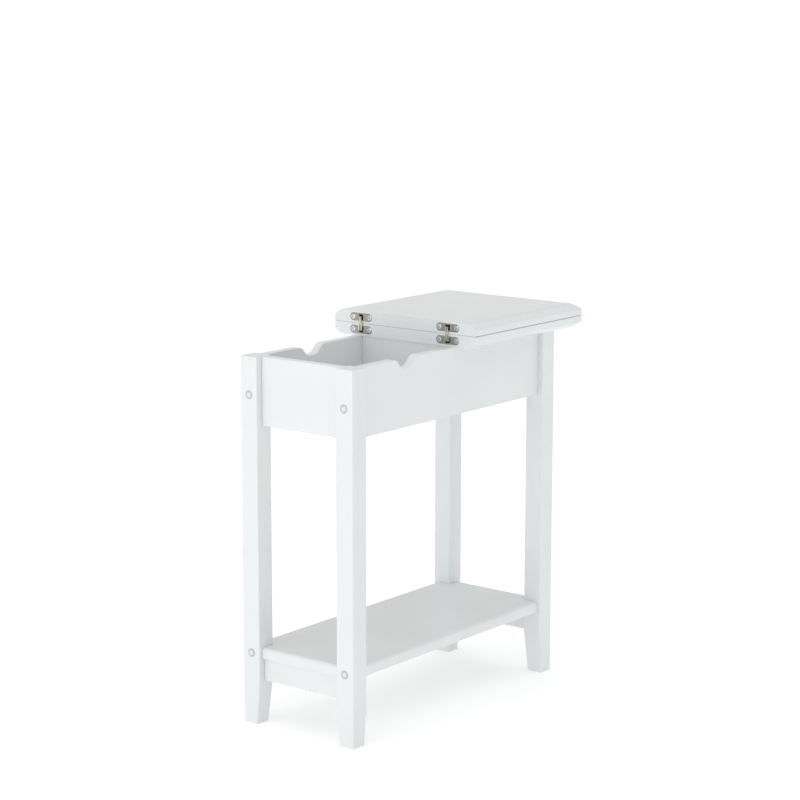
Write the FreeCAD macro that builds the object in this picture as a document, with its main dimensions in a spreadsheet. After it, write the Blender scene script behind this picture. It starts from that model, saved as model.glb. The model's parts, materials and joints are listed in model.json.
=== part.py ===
"""Narrow end table with a flip-over top, an open storage bay, a charging unit and a low shelf.

Millimetres, +Z up. X runs across the table, Y along it: the front end, where the storage bay
opens, faces -Y. The origin is on the floor, in the middle of the whole table's outline with
the lift leaf lying open on the fixed leaf.

All sketches of the frame's pieces share one set of coordinates, centred on the leg frame.
"""
import FreeCAD, Part
import math
import os

import Sketcher

V = FreeCAD.Vector

# Driving dimensions, millimetres.
SIZES = {
    # Leg frame
    "leg_frame_width": 224,
    "leg_frame_length": 531,
    "leg_height": 590,
    "leg_section": 33,
    "leg_edge_radius": 1.5,
    "foot_taper": 5.6,
    "foot_taper_height": 70,
    # Skirt panels round the storage bay
    "skirt_height": 109,
    "panel_thickness": 15,
    "side_panel_recess": 9.5,
    "end_panel_recess": 12,
    "divider_setback": 2,
    # Finger notches in the side panels' top edges
    "notch_setback": 122,
    "notch_depth": 15.5,
    "notch_flat": 9,
    "notch_curve_radius": 17,
    # Floor of the storage bay and its cleats
    "bay_depth": 79,
    "floor_thickness": 12,
    "floor_clearance": 0.3,
    "cleat_width": 12,
    "cleat_height": 15,
    "cleat_end_gap": 12,
    "cleat_screw_spacing": 85,
    "floor_screw_spacing": 80,
    # Top leaves
    "leaf_length": 300,
    "leaf_width": 286,
    "leaf_thickness": 20,
    "leaf_edge_band": 10,
    "leaf_edge_reach": 14.5,
    "leaf_corner_radius": 3,
    "leaf_edge_radius": 0.6,
    "seam_gap": 3.2,
    "stack_gap": 0.4,
    "block_section": 14,
    "block_length": 40,
    "block_setback": 45,
    "block_spacing": 130,
    "block_screw_spacing": 20,
    # Bumper pads under the lift leaf
    "pad_setback": 52.6,
    "pad_diameter": 12.5,
    "pad_thickness": 1,
    "pad_clearance": 0.2,
    # Shelf and its rails
    "shelf_height": 107,
    "shelf_thickness": 18,
    "shelf_side_recess": 5.5,
    "shelf_end_recess": 7.5,
    "shelf_leg_clearance": 0.3,
    "shelf_top_radius": 5,
    "shelf_bottom_radius": 2,
    "rail_height": 36,
    # Frame bolts, barrel nuts and cover plugs
    "upper_bolt_drop": 60,
    "bolt_diameter": 6,
    "bolt_length": 60,
    "bolt_clearance": 0.2,
    "bolt_head_diameter": 12,
    "bolt_head_height": 3.6,
    "bolt_socket_width": 4,
    "bolt_socket_depth": 2.4,
    "counterbore_depth": 5.5,
    "nut_diameter": 10,
    "nut_length": 12,
    "nut_setback": 28,
    "nut_clearance": 0.1,
    "plug_diameter": 13.6,
    "plug_dome": 1.2,
    "plug_stem_length": 1.2,
    # Dowels and wood screws
    "dowel_diameter": 8,
    "dowel_length": 24,
    "dowel_clearance": 0.05,
    "dowel_chamfer": 1,
    "panel_dowel_low": 29,
    "panel_dowel_high": 91,
    "side_dowel_low": 14,
    "side_dowel_high": 74,
    "rail_dowel_low": 9,
    "rail_dowel_high": 27,
    "screw_diameter": 3.2,
    "screw_length": 25,
    "screw_head_diameter": 6.8,
    "screw_head_height": 2.4,
    "screw_clearance": 0.1,
    "screw_recess_width": 0.9,
    "screw_recess_length": 3.6,
    "screw_recess_depth": 1.2,
    # Edge-mortised hinges
    "hinge_spacing": 176,
    "cup_length": 45,
    "cup_height": 13,
    "cup_flange": 2.6,
    "cup_body_width": 22,
    "cup_body_height": 11.6,
    "cup_depth": 12,
    "cup_clearance": 0.1,
    "cup_mouth_width": 9,
    "cup_mouth_height": 9.4,
    "cup_mouth_depth": 10,
    "cup_screw_spacing": 34,
    "cup_screw_length": 16,
    "cup_screw_head_diameter": 8.4,
    "link_thickness": 1.2,
    "link_play": 0.2,
    "link_eye_radius": 1.4,
    "link_arm_width": 2.4,
    "link_reach": 5,
    "link_foot_radius": 1.7,
    "hinge_pin_diameter": 1.6,
    "cross_pin_diameter": 1.8,
    "cross_pin_length": 13,
    "pin_play": 0.05,
    # Charging unit
    "plate_length": 128,
    "plate_width": 48,
    "plate_thickness": 3,
    "plate_corner_radius": 4,
    "plate_bevel": 1.2,
    "plate_fit": 0.15,
    "plate_screw_spacing": 117,
    "pan_head_diameter": 7.4,
    "pan_head_height": 1.6,
    "plate_screw_length": 10,
    "cutout_length": 110,
    "cutout_width": 42,
    "housing_clearance": 0.75,
    "housing_depth": 26,
    "housing_wall": 1.6,
    "outlet_centre": 22,
    "outlet_width": 26.5,
    "outlet_length": 27,
    "outlet_depth": 12,
    "outlet_proud": 0.4,
    "blade_spacing": 12.7,
    "blade_slot_length": 8,
    "blade_slot_width": 2.2,
    "blade_slot_offset": 3.5,
    "ground_hole_diameter": 5,
    "ground_hole_offset": 8,
    "slot_depth": 9,
    "contact_width": 3,
    "contact_length": 9,
    "contact_height": 7,
    "port_centre": 36,
    "port_spacing": 14,
    "port_width": 13.4,
    "port_height": 5.8,
    "port_wall": 0.4,
    "port_depth": 12,
    "tongue_width": 11,
    "tongue_height": 1.8,
    "tongue_setback": 1.5,
    "port_base_height": 2,
    "light_offset_y": 26,
    "light_offset_x": 15.5,
    "light_diameter": 3.5,
    "light_proud": 0.5,
    "board_width": 36,
    "board_length": 40,
    "board_thickness": 1.6,
    "board_end_gap": 2,
    "gland_bore": 6.4,
    "gland_tube_diameter": 8.6,
    "gland_tube_length": 10,
    "gland_flange_diameter": 12,
    "gland_flange_thickness": 1.5,
    "gland_drop": 19,
}


class Size:
    """A length that knows its present value and the sheet expression it comes from."""

    def __init__(self, value, text):
        self.value = value
        self.text = text

    def __add__(self, other):
        other = as_size(other)
        return Size(self.value + other.value, f"({self.text} + {other.text})")

    def __sub__(self, other):
        other = as_size(other)
        return Size(self.value - other.value, f"({self.text} - {other.text})")

    def __mul__(self, other):
        other = as_size(other)
        return Size(self.value * other.value, f"({self.text} * {other.text})")

    def __truediv__(self, other):
        other = as_size(other)
        return Size(self.value / other.value, f"({self.text} / {other.text})")

    def __neg__(self):
        return Size(-self.value, f"(0 - {self.text})")

    def __rsub__(self, other):
        return as_size(other) - self

    __radd__ = __add__
    __rmul__ = __mul__


def as_size(number):
    """Give a plain number the same form as a size."""
    if isinstance(number, Size):
        return number
    return Size(float(number), f"({number})")


def root(size):
    """Square root of a size."""
    return Size(math.sqrt(size.value), f"sqrt({size.text})")


def size(name):
    """A driving dimension, by its name in the sheet."""
    return Size(float(SIZES[name]), f"Sizes.{name}")


doc = FreeCAD.newDocument("EndTable")


def write_sheet():
    """Put each driving dimension in a row of the sheet, with its name as the alias."""
    sheet = doc.addObject("Spreadsheet::Sheet", "Sizes")
    for row, (name, value) in enumerate(SIZES.items(), start=1):
        sheet.set(f"A{row}", name)
        sheet.set(f"B{row}", str(value))
        sheet.setAlias(f"B{row}", name)
    doc.recompute()


# ---------------------------------------------------------------- binding and placing


def bind(thing, path, value):
    """Tie one property of an object to the sheet."""
    thing.setExpression(path, as_size(value).text)


def place(thing, x, y, z, axis=None, degrees=0):
    """Turn an object about a main axis and tie its position to the sheet."""
    if axis:
        thing.Placement = FreeCAD.Placement(V(), FreeCAD.Rotation(axis, degrees))
    bind(thing, "Placement.Base.x", x)
    bind(thing, "Placement.Base.y", y)
    bind(thing, "Placement.Base.z", z)
    return thing


X_AXIS = V(1, 0, 0)
Y_AXIS = V(0, 1, 0)
Z_AXIS = V(0, 0, 1)

# A sketch plane for each axis, and whether its normal runs up or down that axis.
PLANES = {"x": ("YZ_Plane", 1), "y": ("XZ_Plane", -1), "z": ("XY_Plane", 1)}
facing = {}
THROUGH = None


def new_body(label):
    """An empty body, whose label names the node."""
    body = doc.addObject("PartDesign::Body", label)
    body.Label = label
    return body


def frame_body(label):
    """A body drawn in the leg frame's coordinates."""
    return place(new_body(label), 0, mid_y, 0)


def section(body, axis, level=0):
    """A sketch across an axis of the body, at a level along that axis."""
    role, sign = PLANES[axis]
    plane = next(f for f in body.Origin.OriginFeatures if f.Role == role)
    drawing = body.newObject("Sketcher::SketchObject", f"{body.Name}_sketch")
    drawing.AttachmentSupport = [(plane, "")]
    drawing.MapMode = "FlatFace"
    bind(drawing, "AttachmentOffset.Base.z", as_size(level) * sign)
    facing[drawing.Name] = sign
    return drawing


def fix_point(drawing, item, point, u, v):
    """Tie a point of a sketch to its two coordinates."""
    for kind, value, axis_line in (("DistanceX", u, -2), ("DistanceY", v, -1)):
        value = as_size(value)
        if value.text == "(0)":
            drawing.addConstraint(Sketcher.Constraint("PointOnObject", item, point, axis_line))
            continue
        number = drawing.addConstraint(
            Sketcher.Constraint(kind, -1, 1, item, point, value.value))
        drawing.renameConstraint(number, f"dim{number}")
        drawing.setExpression(f"Constraints.dim{number}", value.text)


def fix_radius(drawing, item, radius):
    """Tie the radius of a circle or an arc."""
    number = drawing.addConstraint(
        Sketcher.Constraint("Radius", item, as_size(radius).value))
    drawing.renameConstraint(number, f"dim{number}")
    bind(drawing, f"Constraints.dim{number}", radius)


def circle(drawing, u, v, radius):
    """A circle with its centre and radius tied to the sheet."""
    centre = V(as_size(u).value, as_size(v).value, 0)
    item = drawing.addGeometry(Part.Circle(centre, Z_AXIS, as_size(radius).value), False)
    fix_radius(drawing, item, radius)
    fix_point(drawing, item, 3, u, v)


def bent_edge(start, end, radius, side):
    """The short arc between two points; side is 1 where it turns left on the way."""
    middle = (start + end) * 0.5
    chord = end - start
    rise = math.sqrt(max(radius ** 2 - (chord.Length / 2) ** 2, 0))
    left = V(-chord.y, chord.x, 0)
    centre = middle + left * (side * rise / chord.Length)
    first, last = (start, end) if side > 0 else (end, start)
    angles = [math.atan2(p.y - centre.y, p.x - centre.x) for p in (first, last)]
    return Part.ArcOfCircle(Part.Circle(centre, Z_AXIS, radius), *angles)


def outline(drawing, corners, arcs=None):
    """A closed outline through corners; arcs gives the radius and side of each bent edge."""
    arcs = arcs or {}
    points = [V(as_size(u).value, as_size(v).value, 0) for u, v in corners]
    count = len(points)
    edges = []
    for index, start in enumerate(points):
        end = points[(index + 1) % count]
        if index in arcs:
            radius, side = arcs[index]
            edge = bent_edge(start, end, as_size(radius).value, side)
            ends = (1, 2) if side > 0 else (2, 1)
        else:
            edge = Part.LineSegment(start, end)
            ends = (1, 2)
        edges.append((drawing.addGeometry(edge, False), ends))
    for index, (item, ends) in enumerate(edges):
        following, following_ends = edges[(index + 1) % count]
        drawing.addConstraint(Sketcher.Constraint(
            "Coincident", item, ends[1], following, following_ends[0]))
    for (item, ends), (u, v) in zip(edges, corners):
        fix_point(drawing, item, ends[0], u, v)
    for index, (radius, side) in arcs.items():
        fix_radius(drawing, edges[index][0], radius)
    return drawing


def rectangle(drawing, u0, v0, u1, v1):
    """A rectangle between two opposite corners."""
    return outline(drawing, [(u0, v0), (u1, v0), (u1, v1), (u0, v1)])


def rounded(drawing, u0, v0, u1, v1, radius):
    """A rectangle between two opposite corners, with rounded corners."""
    corners = [
        (u0 + radius, v0),
        (u1 - radius, v0),
        (u1, v0 + radius),
        (u1, v1 - radius),
        (u1 - radius, v1),
        (u0 + radius, v1),
        (u0, v1 - radius),
        (u0, v0 + radius),
    ]
    return outline(drawing, corners, {index: (radius, 1) for index in (1, 3, 5, 7)})


def pad(drawing, length, toward=1):
    """Raise a sketch into a solid, up or down its axis."""
    body = drawing.getParentGeoFeatureGroup()
    feature = body.newObject("PartDesign::Pad", f"{body.Name}_pad")
    feature.Profile = drawing
    feature.Reversed = toward * facing[drawing.Name] < 0
    bind(feature, "Length", length)
    doc.recompute()
    return feature


def pocket(drawing, depth, toward):
    """Sink a sketch into the solid, up or down its axis, or right through it."""
    body = drawing.getParentGeoFeatureGroup()
    before = body.Shape.Volume
    feature = body.newObject("PartDesign::Pocket", f"{body.Name}_pocket")
    feature.Profile = drawing
    feature.Reversed = toward * facing[drawing.Name] > 0
    if depth is THROUGH:
        feature.Type = "ThroughAll"
    else:
        bind(feature, "Length", depth)
    doc.recompute()
    if not 0 < feature.Shape.Volume < before:
        raise RuntimeError(f"{feature.Name} cuts nothing, or everything")
    return feature


def drill(body, axis, level, toward, depth, holes):
    """Sink round holes, each given by the two coordinates of its centre and its radius."""
    drawing = section(body, axis, level)
    for u, v, radius in holes:
        circle(drawing, u, v, radius)
    return pocket(drawing, depth, toward)


def ease(body, kind, amount, wanted):
    """Round or bevel the edges of the body that a test picks."""
    base = body.Tip
    names = [f"Edge{i}" for i, edge in enumerate(base.Shape.Edges, start=1) if wanted(edge)]
    feature = body.newObject(f"PartDesign::{kind}", f"{body.Name}_{kind.lower()}")
    feature.Base = (base, names)
    bind(feature, "Radius" if kind == "Fillet" else "Size", amount)
    doc.recompute()
    return feature


def near(a, b):
    """True where two lengths agree, apart from rounding."""
    return abs(a - b) < 1e-4


def mirrored(label, source, across_x=False):
    """The mirror image of a piece, end for end or side for side."""
    image = doc.addObject("Part::Mirroring", label)
    image.Label = label
    image.Source = source
    image.Normal = X_AXIS if across_x else Y_AXIS
    if not across_x:
        bind(image, "Base.y", mid_y)
    return image


# ---------------------------------------------------------------- solids made of primitives


def block(x0, y0, z0, length_x, length_y, length_z):
    """A plain box from its low corner."""
    solid = doc.addObject("Part::Box", "block")
    bind(solid, "Length", length_x)
    bind(solid, "Width", length_y)
    bind(solid, "Height", length_z)
    return place(solid, x0, y0, z0)


TURNS = {"x": (Y_AXIS, 90), "y": (X_AXIS, -90), "z": (None, 0)}


def rod(axis, x, y, z, radius, length):
    """A cylinder that starts at a point and runs up an axis."""
    solid = doc.addObject("Part::Cylinder", "rod")
    bind(solid, "Radius", radius)
    bind(solid, "Height", length)
    turn_axis, degrees = TURNS[axis]
    return place(solid, x, y, z, turn_axis, degrees)


def cone(x, y, z, low_radius, high_radius, height):
    """A cone frustum that runs up Z."""
    solid = doc.addObject("Part::Cone", "cone")
    bind(solid, "Radius1", low_radius)
    bind(solid, "Radius2", high_radius)
    bind(solid, "Height", height)
    return place(solid, x, y, z)


def fuse(name, solids):
    """One solid from several."""
    joined = doc.addObject("Part::MultiFuse", name)
    joined.Shapes = solids
    joined.Refine = True
    return joined


def cut(name, base, tools):
    """A solid less one or more others."""
    tool = tools[0] if len(tools) == 1 else fuse(f"{name}_tools", tools)
    result = doc.addObject("Part::Cut", name)
    result.Base = base
    result.Tool = tool
    result.Refine = True
    return result


def named(thing, label, x=0, y=0, z=0):
    """Give a finished solid its node's label and its place."""
    thing.Label = label
    return place(thing, x, y, z)


def copies(label, master, spots):
    """A node of like solids; each spot is a position and, where it is turned, an axis and angle."""
    group = doc.addObject("Part::Compound", label)
    group.Label = label
    links = []
    for spot in spots:
        link = doc.addObject("App::Link", f"{label}_copy")
        link.LinkedObject = master
        links.append(place(link, *spot))
    group.Links = links
    return group


# ---------------------------------------------------------------- places shared by the pieces

leg_x1 = size("leg_frame_width") / 2
leg_x0 = leg_x1 - size("leg_section")
leg_y0 = -size("leg_frame_length") / 2
leg_y1 = leg_y0 + size("leg_section")
rim_z = size("leg_height")
skirt_z = rim_z - size("skirt_height")

# The hinge axis crosses the middle of the leg frame. The open leaf reaches further back than
# the legs reach forward, so that middle lies a little in front of the origin.
mid_y = (-leg_y0 + size("plug_dome") - size("seam_gap") / 2 - size("leaf_length")) / 2

side_x1 = leg_x1 - size("side_panel_recess")
side_x0 = side_x1 - size("panel_thickness")
bolt_x = (side_x0 + side_x1) / 2
end_y0 = leg_y0 + size("end_panel_recess")
end_y1 = end_y0 + size("panel_thickness")
end_mid_y = (end_y0 + end_y1) / 2
face_y = size("seam_gap") / 2
divider_y0 = face_y + size("divider_setback")
divider_mid_y = divider_y0 + size("panel_thickness") / 2
bay_mid_y = (end_y1 + divider_y0) / 2
bay_y = mid_y + bay_mid_y

floor_z1 = rim_z - size("bay_depth")
floor_z0 = floor_z1 - size("floor_thickness")
cleat_x0 = side_x0 - size("cleat_width")
cleat_z0 = floor_z0 - size("cleat_height")
cleat_screw_z = floor_z0 - size("cleat_height") / 2
cleat_mid_x = side_x0 - size("cleat_width") / 2

shelf_z0 = size("shelf_height")
shelf_z1 = shelf_z0 + size("shelf_thickness")
shelf_mid_z = shelf_z0 + size("shelf_thickness") / 2
rail_z0 = shelf_z0 - size("rail_height")
upper_bolt_z = rim_z - size("upper_bolt_drop")

dowel_radius = size("dowel_diameter") / 2
dowel_hole = dowel_radius + size("dowel_clearance")
dowel_depth = size("dowel_length") / 2 + size("dowel_clearance")
panel_dowels_z = [skirt_z + size("panel_dowel_low"), skirt_z + size("panel_dowel_high")]
side_dowels_z = [skirt_z + size("side_dowel_low"), skirt_z + size("side_dowel_high")]
rail_dowels_z = [rail_z0 + size("rail_dowel_low"), rail_z0 + size("rail_dowel_high")]

bolt_hole = size("bolt_diameter") / 2 + size("bolt_clearance")
bolt_depth = size("bolt_length") + size("bolt_clearance")
head_hole = size("bolt_head_diameter") / 2 + size("bolt_clearance")
nut_hole = size("nut_diameter") / 2 + size("nut_clearance")
nut_y = -leg_y1 - size("nut_setback")

screw_hole = size("screw_diameter") / 2 + size("screw_clearance")
screw_head_hole = size("screw_head_diameter") / 2 + size("screw_clearance")
screw_head_depth = size("screw_head_height") + size("screw_clearance")
cleat_screw_reach = size("screw_length") - size("cleat_width") + size("screw_clearance")
floor_screw_reach = size("screw_length") - size("cleat_height") + size("screw_clearance")
block_screw_reach = size("screw_length") - size("block_section") + size("screw_clearance")

cleat_screws_y = [bay_mid_y + size("cleat_screw_spacing") * step for step in (-1, 0, 1)]
floor_screws_y = [bay_mid_y + size("floor_screw_spacing") / 2 * step for step in (-1, 1)]
blocks_y = [divider_y0 + size("panel_thickness") + size("block_setback") + size("block_spacing") * step
            for step in (0, 1)]
block_mid_x = side_x0 - size("block_section") / 2
block_screw_z = rim_z - size("block_section") / 2
side_screws_y = [y - size("block_screw_spacing") / 2 for y in blocks_y]
top_screws_y = [y + size("block_screw_spacing") / 2 for y in blocks_y]

# The closed leaf stands on its pads, and the open one lies just clear of the fixed leaf: the
# hinge axis is midway between the show faces of both.
pad_stand = size("pad_thickness") + size("pad_clearance")
top_z = rim_z + size("leaf_thickness")
pivot_z = top_z + (size("stack_gap") + pad_stand) / 2
open_leaf_z1 = top_z + size("stack_gap") + size("leaf_thickness")
fixed_cup_z = rim_z + size("leaf_thickness") / 2
lift_cup_z = open_leaf_z1 - size("leaf_thickness") / 2

SIDES = (-1, 1)


# ---------------------------------------------------------------- legs


def leg():
    """The front right leg, tapered at the foot on its two inner faces."""
    body = frame_body("leg_front_right")
    radius = size("leg_edge_radius")
    taper = size("foot_taper")
    rise = size("foot_taper_height")
    sole = section(body, "z")
    rounded(sole, leg_x0 + taper, leg_y0, leg_x1, leg_y1 - taper, radius)
    ankle = section(body, "z", rise)
    rounded(ankle, leg_x0, leg_y0, leg_x1, leg_y1, radius)
    foot = body.newObject("PartDesign::AdditiveLoft", "leg_foot")
    foot.Profile = sole
    foot.Sections = [ankle]
    foot.Ruled = True
    doc.recompute()
    pad(rounded(section(body, "z", rise), leg_x0, leg_y0, leg_x1, leg_y1, radius),
        size("leg_height") - rise)
    bolts = [(bolt_x, upper_bolt_z), (bolt_x, shelf_mid_z)]
    drill(body, "y", leg_y0, 1, THROUGH, [(x, z, bolt_hole) for x, z in bolts])
    drill(body, "y", leg_y0, 1, size("counterbore_depth"), [(x, z, head_hole) for x, z in bolts])
    end_dowels = [(end_mid_y, z, dowel_hole) for z in panel_dowels_z + rail_dowels_z]
    drill(body, "x", leg_x0, 1, dowel_depth, end_dowels)
    side_dowels = [(bolt_x, z, dowel_hole) for z in side_dowels_z]
    drill(body, "y", leg_y1, -1, dowel_depth, side_dowels)
    return body


# ---------------------------------------------------------------- boards between the legs


def cross_board(label, y0, z0, height, dowels_z):
    """A board across the front, between the two legs, with dowel holes in its ends."""
    body = frame_body(label)
    drawing = rectangle(section(body, "z", z0), -leg_x0, y0, leg_x0, y0 + size("panel_thickness"))
    pad(drawing, height)
    mid = y0 + size("panel_thickness") / 2
    holes = [(mid, z, dowel_hole) for z in dowels_z]
    for side in SIDES:
        drill(body, "x", leg_x0 * side, -side, dowel_depth, holes)
    return body


def side_panel():
    """The right side panel, with the finger notch in its top edge."""
    body = frame_body("right_side_panel")
    radius = size("notch_curve_radius")
    drop = size("notch_depth")
    lean = 1 - drop / (radius * 2)
    shoulder = radius * root(1 - lean * lean)
    middle = -size("notch_setback")
    flat = size("notch_flat") / 2
    corners = [
        (leg_y1, skirt_z),
        (-leg_y1, skirt_z),
        (-leg_y1, rim_z),
        (middle + flat + shoulder * 2, rim_z),
        (middle + flat + shoulder, rim_z - drop / 2),
        (middle + flat, rim_z - drop),
        (middle - flat, rim_z - drop),
        (middle - flat - shoulder, rim_z - drop / 2),
        (middle - flat - shoulder * 2, rim_z),
        (leg_y1, rim_z),
    ]
    arcs = {3: (radius, 1), 4: (radius, -1), 6: (radius, -1), 7: (radius, 1)}
    drawing = outline(section(body, "x", side_x0), corners, arcs)
    pad(drawing, size("panel_thickness"))
    for end in SIDES:
        end_holes = [(bolt_x, z, dowel_hole) for z in side_dowels_z]
        drill(body, "y", leg_y1 * -end, -end, dowel_depth, end_holes)
        drill(body, "y", leg_y1 * -end, -end, bolt_depth, [(bolt_x, upper_bolt_z, bolt_hole)])
    nut_depth = bolt_x + size("nut_length") / 2 + size("nut_clearance") - side_x0
    nuts = [(nut_y * end, upper_bolt_z, nut_hole) for end in SIDES]
    drill(body, "x", side_x0, 1, nut_depth, nuts)
    divider_dowels = [(divider_mid_y, z, dowel_hole) for z in panel_dowels_z]
    drill(body, "x", side_x0, 1, dowel_depth, divider_dowels)
    drill(body, "x", side_x0, 1, cleat_screw_reach,
          [(y, cleat_screw_z, screw_hole) for y in cleat_screws_y])
    drill(body, "x", side_x0, 1, block_screw_reach,
          [(y, block_screw_z, screw_hole) for y in side_screws_y])
    return body


def divider():
    """The upright panel that closes the storage bay at the hinge line."""
    body = frame_body("divider_panel")
    far_y = divider_y0 + size("panel_thickness")
    pad(rectangle(section(body, "z", skirt_z), -side_x0, divider_y0, side_x0, far_y),
        size("skirt_height"))
    holes = [(divider_mid_y, z, dowel_hole) for z in panel_dowels_z]
    for side in SIDES:
        drill(body, "x", side_x0 * side, -side, dowel_depth, holes)
    return body


def bay_floor():
    """The floor of the storage bay, notched round the legs, with the cut-out for the charger."""
    body = frame_body("compartment_floor")
    fit = size("floor_clearance")
    far_x = side_x0 - fit
    leg_x = leg_x0 - fit
    leg_y = leg_y1 + fit
    front_y = end_y1 + fit
    rear_y = divider_y0 - fit
    corners = [
        (-leg_x, front_y),
        (leg_x, front_y),
        (leg_x, leg_y),
        (far_x, leg_y),
        (far_x, rear_y),
        (-far_x, rear_y),
        (-far_x, leg_y),
        (-leg_x, leg_y),
    ]
    pad(outline(section(body, "z", floor_z0), corners), size("floor_thickness"))
    half_width = size("cutout_width") / 2
    half_length = size("cutout_length") / 2
    opening = rectangle(section(body, "z", floor_z1), -half_width, bay_mid_y - half_length,
                        half_width, bay_mid_y + half_length)
    pocket(opening, THROUGH, -1)
    half_spacing = size("plate_screw_spacing") / 2
    plate_holes = [(0, bay_mid_y + half_spacing * end, screw_hole) for end in SIDES]
    drill(body, "z", floor_z1, -1, THROUGH, plate_holes)
    cleat_holes = [(cleat_mid_x * side, y, screw_hole) for side in SIDES for y in floor_screws_y]
    drill(body, "z", floor_z0, 1, floor_screw_reach, cleat_holes)
    return body


def cleat():
    """The batten on the right side panel that carries the bay's floor."""
    body = frame_body("floor_cleat_right")
    front_y = leg_y1 + size("cleat_end_gap")
    rear_y = divider_y0 - size("cleat_end_gap")
    pad(rectangle(section(body, "z", cleat_z0), cleat_x0, front_y, side_x0, rear_y),
        size("cleat_height"))
    across = [(y, cleat_screw_z) for y in cleat_screws_y]
    upright = [(cleat_mid_x, y) for y in floor_screws_y]
    drill(body, "x", cleat_x0, 1, THROUGH, [(y, z, screw_hole) for y, z in across])
    drill(body, "x", cleat_x0, 1, screw_head_depth, [(y, z, screw_head_hole) for y, z in across])
    drill(body, "z", cleat_z0, 1, THROUGH, [(x, y, screw_hole) for x, y in upright])
    drill(body, "z", cleat_z0, 1, screw_head_depth, [(x, y, screw_head_hole) for x, y in upright])
    return body


def fixing_blocks():
    """Four blocks in the corners under the fixed leaf, screwed to the side panels and the leaf."""
    body = new_body("block_master")
    half = size("block_length") / 2
    side = size("block_section")
    offset = size("block_screw_spacing") / 2
    pad(rectangle(section(body, "z"), -side / 2, -half, side / 2, half), side)
    drill(body, "x", -side / 2, 1, THROUGH, [(-offset, side / 2, screw_hole)])
    drill(body, "x", -side / 2, 1, screw_head_depth, [(-offset, side / 2, screw_head_hole)])
    drill(body, "z", 0, 1, THROUGH, [(0, offset, screw_hole)])
    drill(body, "z", 0, 1, screw_head_depth, [(0, offset, screw_head_hole)])
    other = doc.addObject("Part::Mirroring", "block_master_left")
    other.Source = body
    other.Normal = X_AXIS
    group = doc.addObject("Part::Compound", "top_fixing_blocks")
    group.Label = "top_fixing_blocks"
    links = []
    for side_sign, master in ((1, body), (-1, other)):
        for y in blocks_y:
            link = doc.addObject("App::Link", "top_fixing_blocks_copy")
            link.LinkedObject = master
            links.append(place(link, block_mid_x * side_sign, mid_y + y, rim_z - side))
    group.Links = links
    return group


# ---------------------------------------------------------------- shelf


def shelf():
    """The low shelf: one flat board notched round the four legs, with rounded long edges."""
    body = frame_body("shelf_board")
    far_x = leg_x1 - size("shelf_side_recess")
    far_y = -leg_y0 - size("shelf_end_recess")
    leg_x = leg_x0 - size("shelf_leg_clearance")
    leg_y = -leg_y1
    corners = [
        (-leg_x, -far_y),
        (leg_x, -far_y),
        (leg_x, -leg_y),
        (far_x, -leg_y),
        (far_x, leg_y),
        (leg_x, leg_y),
        (leg_x, far_y),
        (-leg_x, far_y),
        (-leg_x, leg_y),
        (-far_x, leg_y),
        (-far_x, -leg_y),
        (-leg_x, -leg_y),
    ]
    thickness = size("shelf_thickness")
    pad(outline(section(body, "z", shelf_z0), corners), thickness)

    def outer_at(level):
        def wanted(edge):
            box = edge.BoundBox
            at_side = near(abs(box.XMin), far_x.value) and near(abs(box.XMax), far_x.value)
            at_end = near(abs(box.YMin), far_y.value) and near(abs(box.YMax), far_y.value)
            single = near(box.XMin, box.XMax) or near(box.YMin, box.YMax)
            flat = near(box.ZMin, level.value) and near(box.ZMax, level.value)
            return flat and single and (at_side or at_end)
        return wanted

    ease(body, "Fillet", size("shelf_top_radius"), outer_at(shelf_z1))
    ease(body, "Fillet", size("shelf_bottom_radius"), outer_at(shelf_z0))
    for end in SIDES:
        holes = [(bolt_x * side, shelf_mid_z, bolt_hole) for side in SIDES]
        drill(body, "y", leg_y * end, -end, bolt_depth, holes)
    nuts = [(bolt_x * side, nut_y * end, nut_hole) for side in SIDES for end in SIDES]
    nut_depth = thickness / 2 + size("nut_length") / 2 + size("nut_clearance")
    drill(body, "z", shelf_z0, 1, nut_depth, nuts)
    return body


# ---------------------------------------------------------------- top leaves


def leaf(label):
    """A leaf in its own frame: the meeting edge is at y = 0 and the show face is on top."""
    body = new_body(label)
    half = size("leaf_width") / 2
    length = size("leaf_length")
    top = size("leaf_thickness")
    band_z = top - size("leaf_edge_band")
    reach = size("leaf_edge_reach")
    sweep = (reach * reach + band_z * band_z) / (band_z * 2)
    corners = [
        (half, band_z),
        (half, top),
        (-half, top),
        (-half, band_z),
        (reach - half, 0),
        (half - reach, 0),
    ]
    profile = outline(section(body, "y"), corners, {3: (sweep, 1), 5: (sweep, 1)})
    pad(profile, length)
    spare = size("leaf_thickness")
    corners = [
        (length, band_z),
        (length - reach, 0),
        (length - reach, -spare),
        (length + spare, -spare),
        (length + spare, band_z),
    ]
    rear = outline(section(body, "x", -half - spare), corners, {0: (sweep, -1)})
    pocket(rear, THROUGH, 1)
    radius = size("leaf_corner_radius")
    for side in SIDES:
        corners = [
            (half * side, length - radius),
            ((half + spare) * side, length - radius),
            ((half + spare) * side, length + spare),
            ((half - radius) * side, length + spare),
            ((half - radius) * side, length),
        ]
        corner = outline(section(body, "z", -spare), corners, {4: (radius, -side)})
        pocket(corner, THROUGH, 1)

    def show_edge(edge):
        box = edge.BoundBox
        return near(box.ZMin, top.value) and near(box.ZMax, top.value)

    ease(body, "Fillet", size("leaf_edge_radius"), show_edge)
    mortise(body)
    return body


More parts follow.
